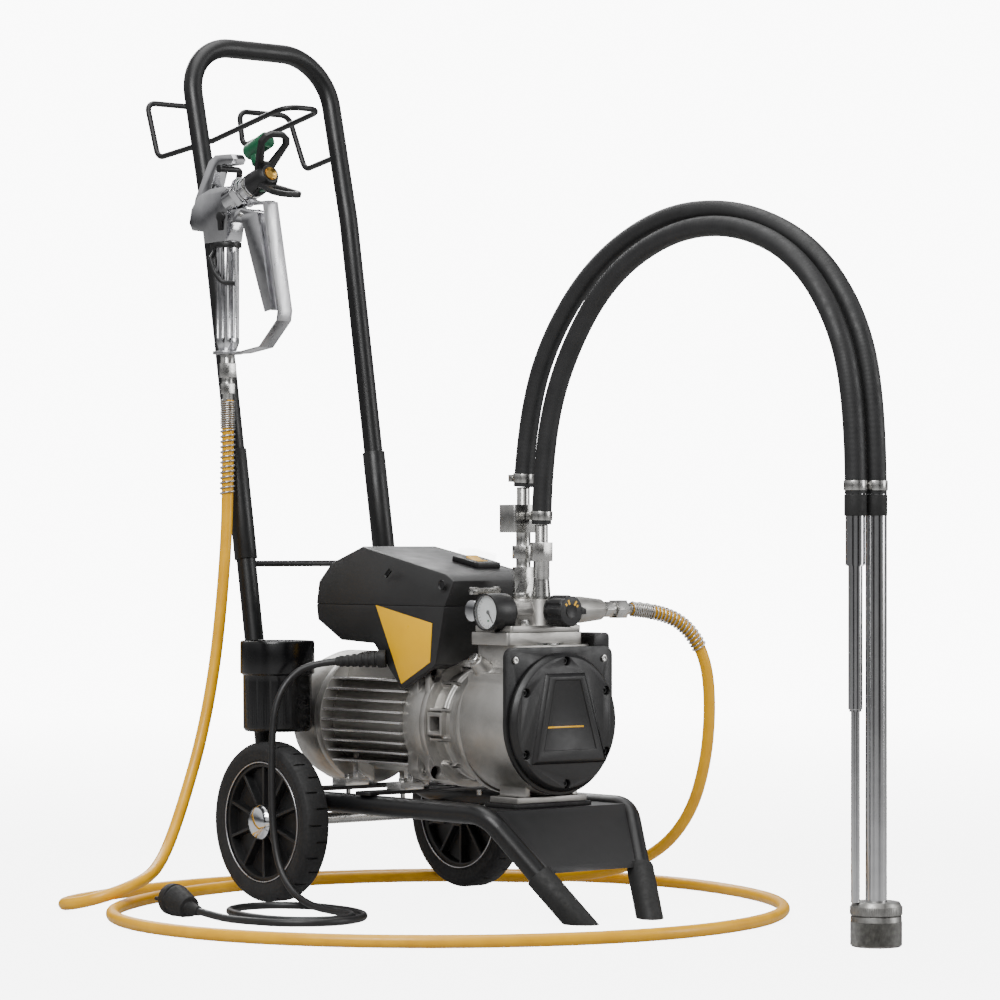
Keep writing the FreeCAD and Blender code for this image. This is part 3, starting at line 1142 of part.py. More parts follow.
def main():
    make_frame()
    make_shield()
    make_brackets()
    make_handle()
    make_gun_hanger()
    make_cup()
    make_wheels()
    make_motor()
    make_bell()
    make_oil_housing()
    make_pump_inside()
    make_head()
    make_front_covers()
    make_gauge()
    make_knob()
    make_pusher()
    make_stubs()
    make_outlet()
    make_control_box()
    make_strain_relief()
    make_gun()
    make_tip()
    make_cords()
    make_pipes()
    make_plug()
    put("steel_fasteners", group(SCREWS))
    box = FreeCAD.BoundBox()
    for name, shape in PARTS.items():
        if name not in LOOSE:
            box.add(shape.optimalBoundingBox(False))
    shift = V(0, -(box.YMin + box.YMax) / 2, 0)
    print("box x %.2f..%.2f y %.2f..%.2f z %.2f..%.2f, shift y %.3f"
          % (box.XMin, box.XMax, box.YMin, box.YMax, box.ZMin, box.ZMax, shift.y))
    os.makedirs("parts", exist_ok=True)
    for name, shape in PARTS.items():
        placed = shape.copy()
        placed.translate(shift)
        if not placed.isValid():
            print("invalid:", name)
        placed.exportStep("parts/" + name + ".step")
        print("%-20s solids %d volume %.0f" % (name, len(placed.Solids), placed.Volume))
    print(len(PARTS), "pieces")


main()
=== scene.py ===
import bpy
import json
import math
from mathutils import Matrix, Vector


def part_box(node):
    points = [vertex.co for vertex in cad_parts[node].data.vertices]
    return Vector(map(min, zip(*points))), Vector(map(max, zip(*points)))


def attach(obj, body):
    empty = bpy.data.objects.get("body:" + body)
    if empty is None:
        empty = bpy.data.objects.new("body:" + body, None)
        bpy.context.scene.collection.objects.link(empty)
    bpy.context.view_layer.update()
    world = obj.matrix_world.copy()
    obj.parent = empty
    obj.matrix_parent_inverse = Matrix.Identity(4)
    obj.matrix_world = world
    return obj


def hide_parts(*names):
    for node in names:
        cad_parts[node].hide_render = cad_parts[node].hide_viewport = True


# Looks of an airless paint sprayer on its cart. Metres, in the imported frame. Castings
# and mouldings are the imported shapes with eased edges; hoses, springs, the dial, the
# filter and the small trim are modelled here.

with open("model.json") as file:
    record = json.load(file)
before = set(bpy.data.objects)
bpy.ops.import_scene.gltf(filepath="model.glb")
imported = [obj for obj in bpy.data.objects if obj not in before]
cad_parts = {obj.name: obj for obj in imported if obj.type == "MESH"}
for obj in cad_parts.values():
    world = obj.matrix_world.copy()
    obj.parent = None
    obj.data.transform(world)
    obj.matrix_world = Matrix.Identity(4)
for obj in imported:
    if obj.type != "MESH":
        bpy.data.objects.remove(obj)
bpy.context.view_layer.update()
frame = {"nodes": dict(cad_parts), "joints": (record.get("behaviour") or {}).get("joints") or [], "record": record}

MM = 0.001
SHIFT_Y = -0.176872           # from the cart's drawing origin to the frame's origin
BODY_OF = {node: body for body, nodes in frame["record"]["behaviour"]["bodies"].items()
           for node in nodes}
JOINTS = {joint["name"]: joint for joint in frame["joints"]}

# ---------------------------------------------------------------- routes, drawing origin
SPRAY_ROUTE = [
    (-0.145, 0.366, 0.632), (-0.145, 0.366, 0.560), (-0.147, 0.365, 0.470),
    (-0.155, 0.365, 0.376), (-0.168, 0.364, 0.285), (-0.190, 0.361, 0.200),
    (-0.222, 0.352, 0.128), (-0.260, 0.330, 0.076), (-0.300, 0.298, 0.050),
    (-0.344, 0.262, 0.038), (-0.394, 0.249, 0.026), (-0.430, 0.272, 0.014),
    (-0.432, 0.318, 0.0076), (-0.394, 0.352, 0.0076), (-0.340, 0.380, 0.0076),
    (-0.280, 0.404, 0.0076), (-0.206, 0.428, 0.0076), (-0.110, 0.440, 0.0076),
    (0.025, 0.428, 0.0076), (0.148, 0.378, 0.0076), (0.250, 0.295, 0.0076),
    (0.322, 0.190, 0.0076), (0.350, 0.060, 0.0076), (0.330, -0.080, 0.0076),
    (0.275, -0.210, 0.0076), (0.185, -0.315, 0.0076), (0.070, -0.385, 0.0076),
    (-0.065, -0.412, 0.0076), (-0.200, -0.392, 0.0076), (-0.330, -0.325, 0.0076),
    (-0.435, -0.220, 0.0076), (-0.494, -0.100, 0.0076), (-0.506, 0.020, 0.0076),
    (-0.484, 0.122, 0.0076), (-0.438, 0.204, 0.0076), (-0.374, 0.268, 0.0076),
    (-0.294, 0.322, 0.0076), (-0.204, 0.362, 0.0076), (-0.105, 0.388, 0.0076),
    (0.005, 0.394, 0.0076), (0.115, 0.362, 0.0076), (0.205, 0.298, 0.0076),
    (0.268, 0.215, 0.0076), (0.300, 0.130, 0.018), (0.313, 0.050, 0.048),
    (0.308, -0.015, 0.100), (0.295, -0.058, 0.170), (0.284, -0.078, 0.245),
    (0.270, -0.084, 0.305), (0.243, -0.077, 0.347), (0.205, -0.064, 0.364),
    (0.165, -0.060, 0.367),
]
CABLE_ROUTE = [
    (-0.126, 0.166, 0.302), (-0.150, 0.186, 0.299), (-0.176, 0.196, 0.282),
    (-0.194, 0.200, 0.250), (-0.199, 0.200, 0.205), (-0.201, 0.198, 0.150),
    (-0.202, 0.194, 0.095), (-0.203, 0.180, 0.048), (-0.205, 0.150, 0.020),
    (-0.207, 0.108, 0.007), (-0.208, 0.062, 0.0046), (-0.213, 0.018, 0.0046),
    (-0.245, -0.015, 0.0046), (-0.290, -0.014, 0.0046), (-0.321, 0.020, 0.0046),
    (-0.325, 0.068, 0.0046), (-0.318, 0.115, 0.0046), (-0.298, 0.158, 0.0046),
    (-0.258, 0.182, 0.0046), (-0.216, 0.172, 0.0046), (-0.190, 0.138, 0.0046),
    (-0.184, 0.094, 0.0046), (-0.188, 0.048, 0.0046), (-0.206, 0.004, 0.0046),
    (-0.239, -0.029, 0.0046), (-0.283, -0.042, 0.0046), (-0.322, -0.027, 0.0046),
    (-0.346, 0.003, 0.0046), (-0.357, 0.042, 0.0046), (-0.360, 0.086, 0.0046),
    (-0.358, 0.132, 0.009),
]
SUCTION_ROUTE = [
    (0.003, -0.042, 0.518), (0.004, -0.047, 0.590), (0.007, -0.080, 0.690),
    (0.014, -0.160, 0.785), (0.022, -0.275, 0.838), (0.029, -0.395, 0.836),
    (0.035, -0.505, 0.790), (0.038, -0.577, 0.705), (0.039, -0.603, 0.600),
    (0.039, -0.6035, 0.504),
]
RETURN_ROUTE = [
    (0.002, -0.077, 0.472), (0.002, -0.080, 0.560), (0.004, -0.112, 0.665),
    (0.006, -0.190, 0.765), (0.007, -0.300, 0.815), (0.008, -0.410, 0.817),
    (0.010, -0.510, 0.775), (0.011, -0.575, 0.690), (0.012, -0.597, 0.590),
    (0.012, -0.5975, 0.504),
]
SPRAY_HOSE_R = 7.5 * MM
CABLE_R = 4.5 * MM
PICKUP_HOSE_R = 12.0 * MM


# ---------------------------------------------------------------- colours and nodes
def linear(code):
    """sRGB hex colour as linear RGBA."""
    channels = [int(code[i:i + 2], 16) / 255 for i in (1, 3, 5)]
    return tuple(c / 12.92 if c <= 0.04045 else ((c + 0.055) / 1.055) ** 2.4
                 for c in channels) + (1.0,)


def add(tree, kind, settings=(), links=()):
    """Adds a node; settings are its own properties or input values, links feed its inputs."""
    node = tree.nodes.new(kind)
    for key, value in dict(settings).items():
        if isinstance(key, str) and hasattr(node, key):
            setattr(node, key, value)
        else:
            node.inputs[key].default_value = value
    for key, socket in dict(links).items():
        tree.links.new(socket, node.inputs[key])
    return node


def surface(name, roughness, metallic=0.0, sockets=()):
    material = bpy.data.materials.new(name)
    material.use_nodes = True
    shader = material.node_tree.nodes["Principled BSDF"]
    shader.inputs["Roughness"].default_value = roughness
    shader.inputs["Metallic"].default_value = metallic
    for key, value in dict(sockets).items():
        shader.inputs[key].default_value = value
    return material, material.node_tree, shader


def noise(tree, size_mm, stretch=(1, 1, 1), detail=3.0):
    """Object-space noise whose features are about size_mm wide."""
    place = add(tree, "ShaderNodeTexCoord").outputs["Object"]
    spread = add(tree, "ShaderNodeMapping", {"Scale": stretch}, {"Vector": place})
    return add(tree, "ShaderNodeTexNoise", {"Scale": 1 / (size_mm * MM), "Detail": detail},
               {"Vector": spread.outputs[0]}).outputs["Fac"]


def tint(tree, shader, amount, dark, light):
    """Base colour that wanders between two tones."""
    mix = add(tree, "ShaderNodeMix", {"data_type": "RGBA"}, {"Factor": amount})
    mix.inputs[6].default_value = linear(dark)
    mix.inputs[7].default_value = linear(light)
    tree.links.new(mix.outputs[2], shader.inputs["Base Color"])
    return mix


def level(tree, source, low, high, start=0.3, end=0.7):
    return add(tree, "ShaderNodeMapRange", {"From Min": start, "From Max": end, "To Min": low,
                                            "To Max": high}, {"Value": source}).outputs[0]


def relief(tree, shader, source, depth_mm):
    """Bump of a real depth on the shader's normal."""
    bump = add(tree, "ShaderNodeBump", {"Strength": 1.0, "Distance": depth_mm * MM},
               {"Height": source})
    tree.links.new(bump.outputs[0], shader.inputs["Normal"])


def patchy(tree, shader, tones, patch_mm, roughness, grain_mm, depth_mm, stretch=(1, 1, 1)):
    """Colour in wide soft patches, roughness in smaller ones and a fine surface grain."""
    tint(tree, shader, level(tree, noise(tree, patch_mm), 0, 1), *tones)
    smudge = level(tree, noise(tree, patch_mm * 0.3, stretch), *roughness)
    tree.links.new(smudge, shader.inputs["Roughness"])
    relief(tree, shader, noise(tree, grain_mm, stretch, 2.0), depth_mm)


# ---------------------------------------------------------------- materials
def powder_coat():
    # Epoxy-polyester powder on steel tube: satin black, a faint orange peel.
    material, tree, shader = surface("powder_coat_satin_black", 0.4, sockets={"IOR": 1.5})
    patchy(tree, shader, ("#0e0e0f", "#131314"), 60, (0.34, 0.44), 1.6, 0.05)
    return material


def moulded_black():
    # Glass-filled nylon: deep black, low gloss, spark-eroded mould grain about 1 mm.
    material, tree, shader = surface("nylon_moulded_black", 0.4, sockets={"IOR": 1.53})
    patchy(tree, shader, ("#0d0d0e", "#131314"), 40, (0.36, 0.5), 1.1, 0.05)
    return material


def gloss_black():
    # Polypropylene cup: smooth mould, soft gloss.
    material, tree, shader = surface("polypropylene_gloss_black", 0.25, sockets={"IOR": 1.49})
    patchy(tree, shader, ("#0a0a0b", "#0f0f10"), 50, (0.18, 0.28), 6, 0.04)
    return material


def moulded_grey():
    # ABS housing: dark grey with an even, slightly coarse mould grain.
    material, tree, shader = surface("abs_moulded_dark_grey", 0.45, sockets={"IOR": 1.54})
    patchy(tree, shader, ("#1d1d1d", "#242424"), 70, (0.4, 0.5), 1.3, 0.07)
    return material


def rubber():
    # Vulcanised rubber: matt black, dusty in patches.
    material, tree, shader = surface("rubber_vulcanised_black", 0.7, sockets={"IOR": 1.52})
    patchy(tree, shader, ("#0f0f0f", "#171717"), 18, (0.58, 0.78), 1.5, 0.08)
    return material


def tyre_rubber():
    # Tyre compound: a little greyer where it meets the floor, fine moulded texture.
    material, tree, shader = surface("rubber_tyre_compound", 0.75, sockets={"IOR": 1.52})
    patchy(tree, shader, ("#131314", "#1d1d1e"), 14, (0.62, 0.82), 1.4, 0.1)
    return material


def hose_rubber():
    # Extruded hose cover: matt black with faint wrap marks along its length.
    material, tree, shader = surface("rubber_hose_wrapped", 0.55, sockets={"IOR": 1.52})
    wrap = add(tree, "ShaderNodeTexCoord").outputs["UV"]
    lines = add(tree, "ShaderNodeTexWave", {"Scale": 60.0, "Distortion": 1.5, "Detail": 1.0},
                {"Vector": wrap})
    tint(tree, shader, level(tree, noise(tree, 30), 0, 1), "#161617", "#202021")
    tree.links.new(level(tree, noise(tree, 9), 0.46, 0.62), shader.inputs["Roughness"])
    relief(tree, shader, lines.outputs["Fac"], 0.05)
    return material


def hose_yellow():
    # Polyamide hose jacket: satin yellow, light scuffs, the braid just telegraphs through.
    material, tree, shader = surface("polyamide_hose_yellow", 0.35, sockets={"IOR": 1.53})
    patchy(tree, shader, ("#e8a800", "#f5b600"), 24, (0.28, 0.42), 2.4, 0.06)
    return material


def cable_pvc():
    # PVC cable sheath: black, slightly waxy.
    material, tree, shader = surface("pvc_cable_black", 0.45, sockets={"IOR": 1.54})
    patchy(tree, shader, ("#111112", "#19191a"), 20, (0.38, 0.52), 3, 0.05)
    return material


def cast_aluminium():
    # Die-cast aluminium, bead blasted and lacquered: pale grey, soft sheen, fine pits.
    material, tree, shader = surface("aluminium_cast_blasted", 0.4, 0.85)
    patchy(tree, shader, ("#a3a19d", "#b9b7b3"), 35, (0.36, 0.5), 1.4, 0.07)
    return material


def finned_aluminium():
    # Motor barrel: the same casting, with a painted highlight on the fin tips, which are also smoother.
    material, tree, shader = surface("aluminium_cast_fin_tips_painted_highlight", 0.4, 0.85)
    place = add(tree, "ShaderNodeTexCoord").outputs["Object"]
    shaft = JOINTS["motor_spin"]["pos_m"]
    middle = add(tree, "ShaderNodeMapping", {"Location": (0, 0, -shaft[2]), "Scale": (1, 0, 1)},
                 {"Vector": place})
    far = add(tree, "ShaderNodeVectorMath", {"operation": "LENGTH"}, {0: middle.outputs[0]})
    # painted highlight: the outer 5 mm of the fins are coloured brighter and made smoother
    tip = level(tree, far.outputs["Value"], 0, 1, 0.078, 0.083)
    tint(tree, shader, tip, "#a9a7a3", "#e4e3e1")
    tree.links.new(level(tree, tip, 0.5, 0.26, 0, 1), shader.inputs["Roughness"])
    relief(tree, shader, noise(tree, 1.4, detail=2.0), 0.07)
    return material


def polished_alloy():
    # Forged aluminium, tumbled and polished: bright, with gentle hand-polish waves.
    material, tree, shader = surface("aluminium_forged_polished", 0.16, 1.0)
    patchy(tree, shader, ("#c9c9cb", "#dcdcde"), 20, (0.12, 0.2), 9, 0.02)
    return material


def brushed_alloy():
    # Aluminium sheet: brushed along its length.
    material, tree, shader = surface("aluminium_sheet_brushed", 0.3, 1.0)
    patchy(tree, shader, ("#bdbdbf", "#cfcfd1"), 20, (0.24, 0.4), 2.5, 0.03, (1, 1, 0.08))
    return material


def turned_steel():
    # Zinc-plated steel, turned: fine rings, drawn as coarse as they need to show.
    material, tree, shader = surface("steel_turned_zinc_plated", 0.26, 1.0)
    patchy(tree, shader, ("#b4b3b0", "#cccbc8"), 9, (0.2, 0.32), 1.2, 0.004, (1, 1, 3))
    return material


def chrome():
    # Chrome plate over nickel: mirror, slightly hazy patches.
    material, tree, shader = surface("chrome_plate_polished", 0.07, 1.0)
    patchy(tree, shader, ("#dadbdd", "#e6e7e9"), 30, (0.05, 0.12), 25, 0.03)
    return material


def stainless_tube():
    # Drawn stainless tube: polished, with faint lengthwise draw marks.
    material, tree, shader = surface("stainless_tube_drawn", 0.14, 1.0)
    patchy(tree, shader, ("#cfcfd0", "#dededf"), 25, (0.1, 0.2), 1.5, 0.02, (1, 1, 0.02))
    return material


def filter_steel():
    # Knurled and sand-worn stainless: darker and duller than the tube above it.
    material, tree, shader = surface("stainless_knurled", 0.4, 1.0)
    patchy(tree, shader, ("#8d8c89", "#a7a6a3"), 6, (0.32, 0.5), 1.2, 0.08)
    return material


def yellow_abs():
    # ABS panel: warm yellow, satin, very even.
    material, tree, shader = surface("abs_satin_yellow", 0.32, sockets={"IOR": 1.54})
    patchy(tree, shader, ("#f2b600", "#fabf00"), 45, (0.27, 0.37), 1.4, 0.04)
    return material


def green_abs():
    # Acetal tip handle: dark green, smooth and waxy.
    material, tree, shader = surface("acetal_green", 0.3, sockets={"IOR": 1.48})
    patchy(tree, shader, ("#0b4c30", "#0f5e3c"), 15, (0.24, 0.36), 2, 0.05)
    return material


def brass():
    # Turned brass seat: warm gold, bright.
    material, tree, shader = surface("brass_turned", 0.22, 1.0)
    patchy(tree, shader, ("#b98f3f", "#cda557"), 6, (0.18, 0.3), 1, 0.03)
    return material


def copper_wire():
    # Enamelled copper winding: deep orange, ribbed by the wire.
    material, tree, shader = surface("copper_wire_enamelled", 0.35, 0.9)
    patchy(tree, shader, ("#8a4a22", "#a65e2f"), 10, (0.3, 0.45), 1, 0.2, (1, 6, 1))
    return material


def clear_plastic():
    # Polycarbonate: clear, polished.
    material, tree, shader = surface("polycarbonate_clear", 0.04,
                                     sockets={"IOR": 1.58, "Alpha": 0.07})
    tint(tree, shader, level(tree, noise(tree, 40), 0, 1), "#f4f6f6", "#ffffff")
    relief(tree, shader, noise(tree, 12), 0.01)
    return material


def dial_print():
    # Printed aluminium dial: matt off-white lacquer.
    material, tree, shader = surface("lacquered_dial_off_white", 0.5, sockets={"IOR": 1.5})
    patchy(tree, shader, ("#cfd2d2", "#d9dcdc"), 12, (0.42, 0.55), 0.8, 0.01)
    return material


MATERIALS = {
    "frame": powder_coat(), "black": moulded_black(), "gloss": gloss_black(),
    "grey": moulded_grey(), "rubber": rubber(), "tyre": tyre_rubber(),
    "hose_black": hose_rubber(), "hose_yellow": hose_yellow(), "cable": cable_pvc(),
    "cast": cast_aluminium(), "fins": finned_aluminium(), "alloy": polished_alloy(),
    "sheet": brushed_alloy(), "steel": turned_steel(), "chrome": chrome(),
    "tube": stainless_tube(), "filter": filter_steel(), "yellow": yellow_abs(),
    "green": green_abs(), "brass": brass(), "copper": copper_wire(),
    "clear": clear_plastic(), "dial": dial_print(),
}

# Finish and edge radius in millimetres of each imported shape; 0 leaves the shape as it is.
FINISH = {
    "frame_tube_near": ("frame", 0), "frame_tube_far": ("frame", 0),
    "handle_tube": ("frame", 0), "gun_wire": ("frame", 0),
    "handle_fittings": ("frame", 0.5), "frame_brackets": ("frame", 0.8),
    "front_shield": ("frame", 0.8), "rubber_feet": ("rubber", 1.0), "axle": ("steel", 0.6),
    "cup": ("gloss", 0.8), "motor_housing": ("fins", 0.5), "motor_shields": ("cast", 0.9),
    "fan_cowl": ("cast", 0.6), "motor_electrics": ("copper", 0), "bell_housing": ("cast", 1.2),
    "oil_housing": ("cast", 1.6), "pump_piston": ("steel", 0), "pump_head": ("cast", 1.0),
    "manifold": ("cast", 1.2), "front_cover": ("black", 0.9), "cover_plate": ("black", 0.9),
    "gauge_case": ("black", 0.6), "gauge_dial": ("dial", 0), "hose_clamps": ("steel", 0.3),
    "pump_fittings": ("steel", 0.3), "control_base": ("grey", 1.5),
    "control_lid": ("grey", 1.5), "switch_frame": ("black", 0.8), "clear_covers": ("clear", 0),
    "yellow_panels": ("yellow", 0.3), "strain_relief": ("rubber", 0.5),
    "gun_body": ("alloy", 0.6), "trigger_guard": ("sheet", 0.3), "grip_clip": ("black", 0.6),
    "gun_fittings": ("steel", 0.5), "steel_fasteners": ("steel", 0.3),
    "tyre_near": ("tyre", 0.9), "rim_near": ("black", 0.9), "hub_cap_near": ("chrome", 0.3),
    "tyre_far": ("tyre", 0.9), "rim_far": ("black", 0.9), "hub_cap_far": ("chrome", 0.3),
    "rotor_shaft": ("steel", 0), "cooling_fan": ("black", 0), "gauge_needle": ("black", 0),
    "pressure_knob": ("black", 0.4), "inlet_pusher": ("chrome", 1.0),
    "switch_rocker": ("yellow", 0.6), "trigger": ("alloy", 0.5), "trigger_lock": ("black", 0.5),
    "tip_guard": ("black", 1.0), "spray_tip": ("green", 0.7), "pickup_pipes": ("tube", 0),
    "inlet_filter": ("filter", 0.4), "plug": ("rubber", 1.2),
}


# ---------------------------------------------------------------- modelling helpers
def lone(piece):
    """Makes one object the whole selection."""
    bpy.ops.object.select_all(action="DESELECT")
    piece.select_set(True)
    bpy.context.view_layer.objects.active = piece


def primitive(kind, name, **size):
    """Adds a primitive at its place and applies the place to its mesh."""
    bpy.ops.object.select_all(action="DESELECT")
    getattr(bpy.ops.mesh, "primitive_" + kind + "_add")(**size)
    piece = bpy.context.object
    piece.name = piece.data.name = name
    bpy.ops.object.transform_apply(location=True, rotation=True, scale=True)
    return piece


def worked(piece, test, operator, **settings):
    """Runs one edit-mode operator on the faces that the test picks by centre and normal."""
    lone(piece)
    for edge in piece.data.edges:
        edge.select = False
    for vertex in piece.data.vertices:
        vertex.select = False
    for face in piece.data.polygons:
        face.select = test(face.center, face.normal)
    bpy.ops.object.mode_set(mode="EDIT")
    bpy.ops.mesh.select_mode(type="FACE")
    operator(**settings)
    bpy.ops.object.mode_set(mode="OBJECT")


def everywhere(centre, normal):
    return True


def modified(piece, kind, **settings):
    """Adds a modifier and applies it."""
    lone(piece)
    modifier = piece.modifiers.new(kind.title(), kind)
    for key, value in settings.items():
        setattr(modifier, key, value)
    bpy.ops.object.modifier_apply(modifier=modifier.name)


def smooth(piece, degrees=35):
    lone(piece)
    bpy.ops.object.shade_smooth_by_angle(angle=math.radians(degrees))


def given(piece, finish, body="cart"):
    """Gives a finished piece its material and its body."""
    piece.data.materials.clear()
    piece.data.materials.append(MATERIALS[finish])
    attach(piece, body)
    return piece


def joined(pieces, name):
    """Joins copies of a repeated shape into one piece."""
    bpy.ops.object.select_all(action="DESELECT")
    for piece in pieces:
        piece.select_set(True)
    bpy.context.view_layer.objects.active = pieces[0]
    bpy.ops.object.join()
    whole = bpy.context.object
    whole.name = whole.data.name = name
    return whole


def copied(piece, matrix):
    twin = piece.copy()
    twin.data = piece.data.copy()
    bpy.context.scene.collection.objects.link(twin)
    twin.data.transform(matrix)
    return twin


def about(point, axis, degrees):
    """Turn about a line through a point."""
    spot = Matrix.Translation(point)
    return spot @ Matrix.Rotation(math.radians(degrees), 4, Vector(axis)) @ spot.inverted()


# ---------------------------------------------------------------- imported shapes
def eased(node, finish, edge_mm):
    """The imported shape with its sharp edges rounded."""
    source = frame["nodes"][node]
    piece = source.copy()
    piece.data = source.data.copy()
    for key in list(piece.keys()):
        del piece[key]
    piece.parent = None
    piece.name = piece.data.name = node + "_eased"
    bpy.context.scene.collection.objects.link(piece)
    lone(piece)
    if piece.data.has_custom_normals:
        bpy.ops.mesh.customdata_custom_splitnormals_clear()
    worked(piece, everywhere, bpy.ops.mesh.remove_doubles, threshold=1e-6)
    worked(piece, everywhere, bpy.ops.mesh.dissolve_limited, angle_limit=math.radians(0.6))
    modified(piece, "BEVEL", width=edge_mm * MM, segments=2, limit_method="ANGLE",
             angle_limit=math.radians(32), use_clamp_overlap=False, miter_outer="MITER_SHARP")
    smooth(piece, 38)
    given(piece, finish, BODY_OF[node])
    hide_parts(node)
    return piece


def dress_packed_shapes():
    pieces = {}
    for node, (finish, edge_mm) in FINISH.items():
        if edge_mm:
            pieces[node] = eased(node, finish, edge_mm)
        else:
            shape = frame["nodes"][node]
            shape.data.materials.clear()
            shape.data.materials.append(MATERIALS[finish])
            pieces[node] = shape
    return pieces


def darken_cover_screws(fasteners):
    """The six deep screws of the pump's cover are black; the plate's two stay bright."""
    low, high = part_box("front_cover")
    middle = (low + high) / 2
    reach = (high.x - low.x) / 2
    fasteners.data.materials.append(MATERIALS["black"])
    for face in fasteners.data.polygons:
        out = math.hypot(face.center.x - middle.x, face.center.z - middle.z) / reach
        if face.center.y < high.y + 20 * MM and 0.8 < out < 0.96:
            face.material_index = 1


# ---------------------------------------------------------------- hoses, cable, springs
def cord_curve(name, route, radius, finish):
    curve = bpy.data.curves.new(name, "CURVE")
    curve.dimensions = "3D"
    spline = curve.splines.new("NURBS")
    spline.points.add(len(route) - 1)
    for point, (x, y, z) in zip(spline.points, route):
        point.co = (x, y + SHIFT_Y, z, 1.0)
    spline.order_u = 3
    spline.use_endpoint_u = True
    spline.resolution_u = 10
    curve.bevel_depth = radius
    curve.bevel_resolution = 7
    curve.use_fill_caps = True
    piece = bpy.data.objects.new(name, curve)
    bpy.context.scene.collection.objects.link(piece)
    curve.materials.append(MATERIALS[finish])
    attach(piece, "cart")
    return piece


def centreline(piece):
    """Points of a cord's own smooth line."""
    bare = piece.copy()
    bare.data = piece.data.copy()
    bare.data.bevel_depth = 0
    bpy.context.scene.collection.objects.link(bare)
    mesh = bpy.data.meshes.new_from_object(bare)
    points = [vertex.co.copy() for vertex in mesh.vertices]
    bpy.data.objects.remove(bare)
    return points


def coil_on(name, line, length, radius, wire, pitches):
    """Wire coil round the start of a line. pitches: (share of the length, pitch)."""
    points = []
    side = (line[1] - line[0]).orthogonal().normalized()
    walked, angle, index = 0.0, 0.0, 0
    step = 0.4 * MM
    here, ahead = line[0].copy(), line[1] - line[0]
    while walked < length and index < len(line) - 2:
        way = ahead.normalized()
        side = (side - way * side.dot(way)).normalized()
        points.append(here + (Matrix.Rotation(angle, 3, way) @ side) * radius)
        share = walked / length
        pitch = next(p for limit, p in pitches if share <= limit)
        here = here + way * step
        walked += step
        angle += 2 * math.pi * step / pitch
        while (here - line[index]).dot(line[index + 1] - line[index]) > (
                line[index + 1] - line[index]).length_squared and index < len(line) - 2:
            index += 1
        ahead = line[index + 1] - here
        if ahead.length < 1e-5:
            ahead = line[index + 2] - here
    curve = bpy.data.curves.new(name, "CURVE")
    curve.dimensions = "3D"
    spline = curve.splines.new("POLY")
    spline.points.add(len(points) - 1)
    for point, place in zip(spline.points, points):
        point.co = (*place, 1.0)
    curve.bevel_depth = wire
    curve.bevel_resolution = 2
    curve.use_fill_caps = True
    piece = bpy.data.objects.new(name, curve)
    bpy.context.scene.collection.objects.link(piece)
    lone(piece)
    bpy.ops.object.convert(target="MESH")
    piece = bpy.context.object
    smooth(piece, 60)
    given(piece, "steel")
    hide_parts("hose_guards")
    return piece


def make_cords():
    hose = cord_curve("spray_hose_line", SPRAY_ROUTE, SPRAY_HOSE_R, "hose_yellow")
    cable = cord_curve("power_cable_line", CABLE_ROUTE, CABLE_R, "cable")
    suction = cord_curve("suction_hose_line", SUCTION_ROUTE, PICKUP_HOSE_R, "hose_black")
    back = cord_curve("return_hose_line", RETURN_ROUTE, PICKUP_HOSE_R, "hose_black")
    line = centreline(hose)
    upper = coil_on("gun_spring", line, 122 * MM, SPRAY_HOSE_R + 1.4 * MM, 1.2 * MM,
                    ((0.3, 2.9 * MM), (1.0, 6.6 * MM)))
    lower = coil_on("outlet_spring", list(reversed(line)), 118 * MM, SPRAY_HOSE_R + 1.4 * MM,
                    1.2 * MM, ((0.25, 2.9 * MM), (1.0, 5.6 * MM)))
    for piece, node, slot in ((hose, "spray_hose", "hose_yellow"), (cable, "power_cable", "cable"),
                              (suction, "suction_hose", "hose_black"),
                              (back, "return_hose", "hose_black")):
        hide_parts(node)


# ---------------------------------------------------------------- gauge and knob trim
TICKS = 21                    # printed round the dial
TICK_STEP = 13.5              # degrees
FIRST_TICK = -135.0
LONG_TICK, SHORT_TICK = 3.6 * MM, 2.2 * MM
PRINT_LIFT = 0.1 * MM         # print stands this far off the dial


def make_gauge_trim():
    """Ticks and green mark on the dial, the case's bezel and the needle's boss."""
    low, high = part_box("gauge_dial")
    pivot = Vector(JOINTS["gauge_needle_turn"]["pos_m"])
    face = low.x
    radius = (high.z - low.z) / 2
    ticks = []
    for i in range(TICKS):
        long = LONG_TICK if i % 5 == 0 else SHORT_TICK
        foot = pivot.z - radius + 1.2 * MM
        tick = primitive("cube", "tick", size=1, scale=(0.3 * MM, 0.5 * MM, long),
                         location=(face - PRINT_LIFT, pivot.y, foot + long / 2))
        worked(tick, lambda c, n: n.x < -0.9, bpy.ops.mesh.bevel, offset=0.08 * MM, segments=1)
        tick.data.transform(about(pivot, (1, 0, 0), FIRST_TICK + TICK_STEP * i))
        ticks.append(tick)
    given(joined(ticks, "gauge_ticks"), "black")
    mark = primitive("cube", "gauge_green_mark", size=1, scale=(0.3 * MM, 3.4 * MM, 2.4 * MM),
                     location=(face - PRINT_LIFT, pivot.y, pivot.z - radius * 0.52))
    worked(mark, lambda c, n: n.x < -0.9, bpy.ops.mesh.bevel, offset=0.1 * MM, segments=2)
    given(mark, "green")
    rim = primitive("torus", "gauge_bezel", major_radius=radius + 1.0 * MM, minor_radius=0.9 * MM,
                    major_segments=64, minor_segments=12, rotation=(0, math.pi / 2, 0),
                    location=(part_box("gauge_case")[0].x + 0.9 * MM, pivot.y, pivot.z))
    smooth(rim, 60)
    given(rim, "black")
    boss = primitive("uv_sphere", "needle_boss", segments=20, ring_count=10, radius=2.3 * MM,
                     location=pivot + Vector((-0.6 * MM, 0, 0)), scale=(0.5, 1, 1))
    smooth(boss, 60)
    given(boss, "black", "needle")


KNOB_MARKS = ((35, 6.5), (58, 3.0), (-20, 6.0), (-46, 3.0))    # degrees, length in mm


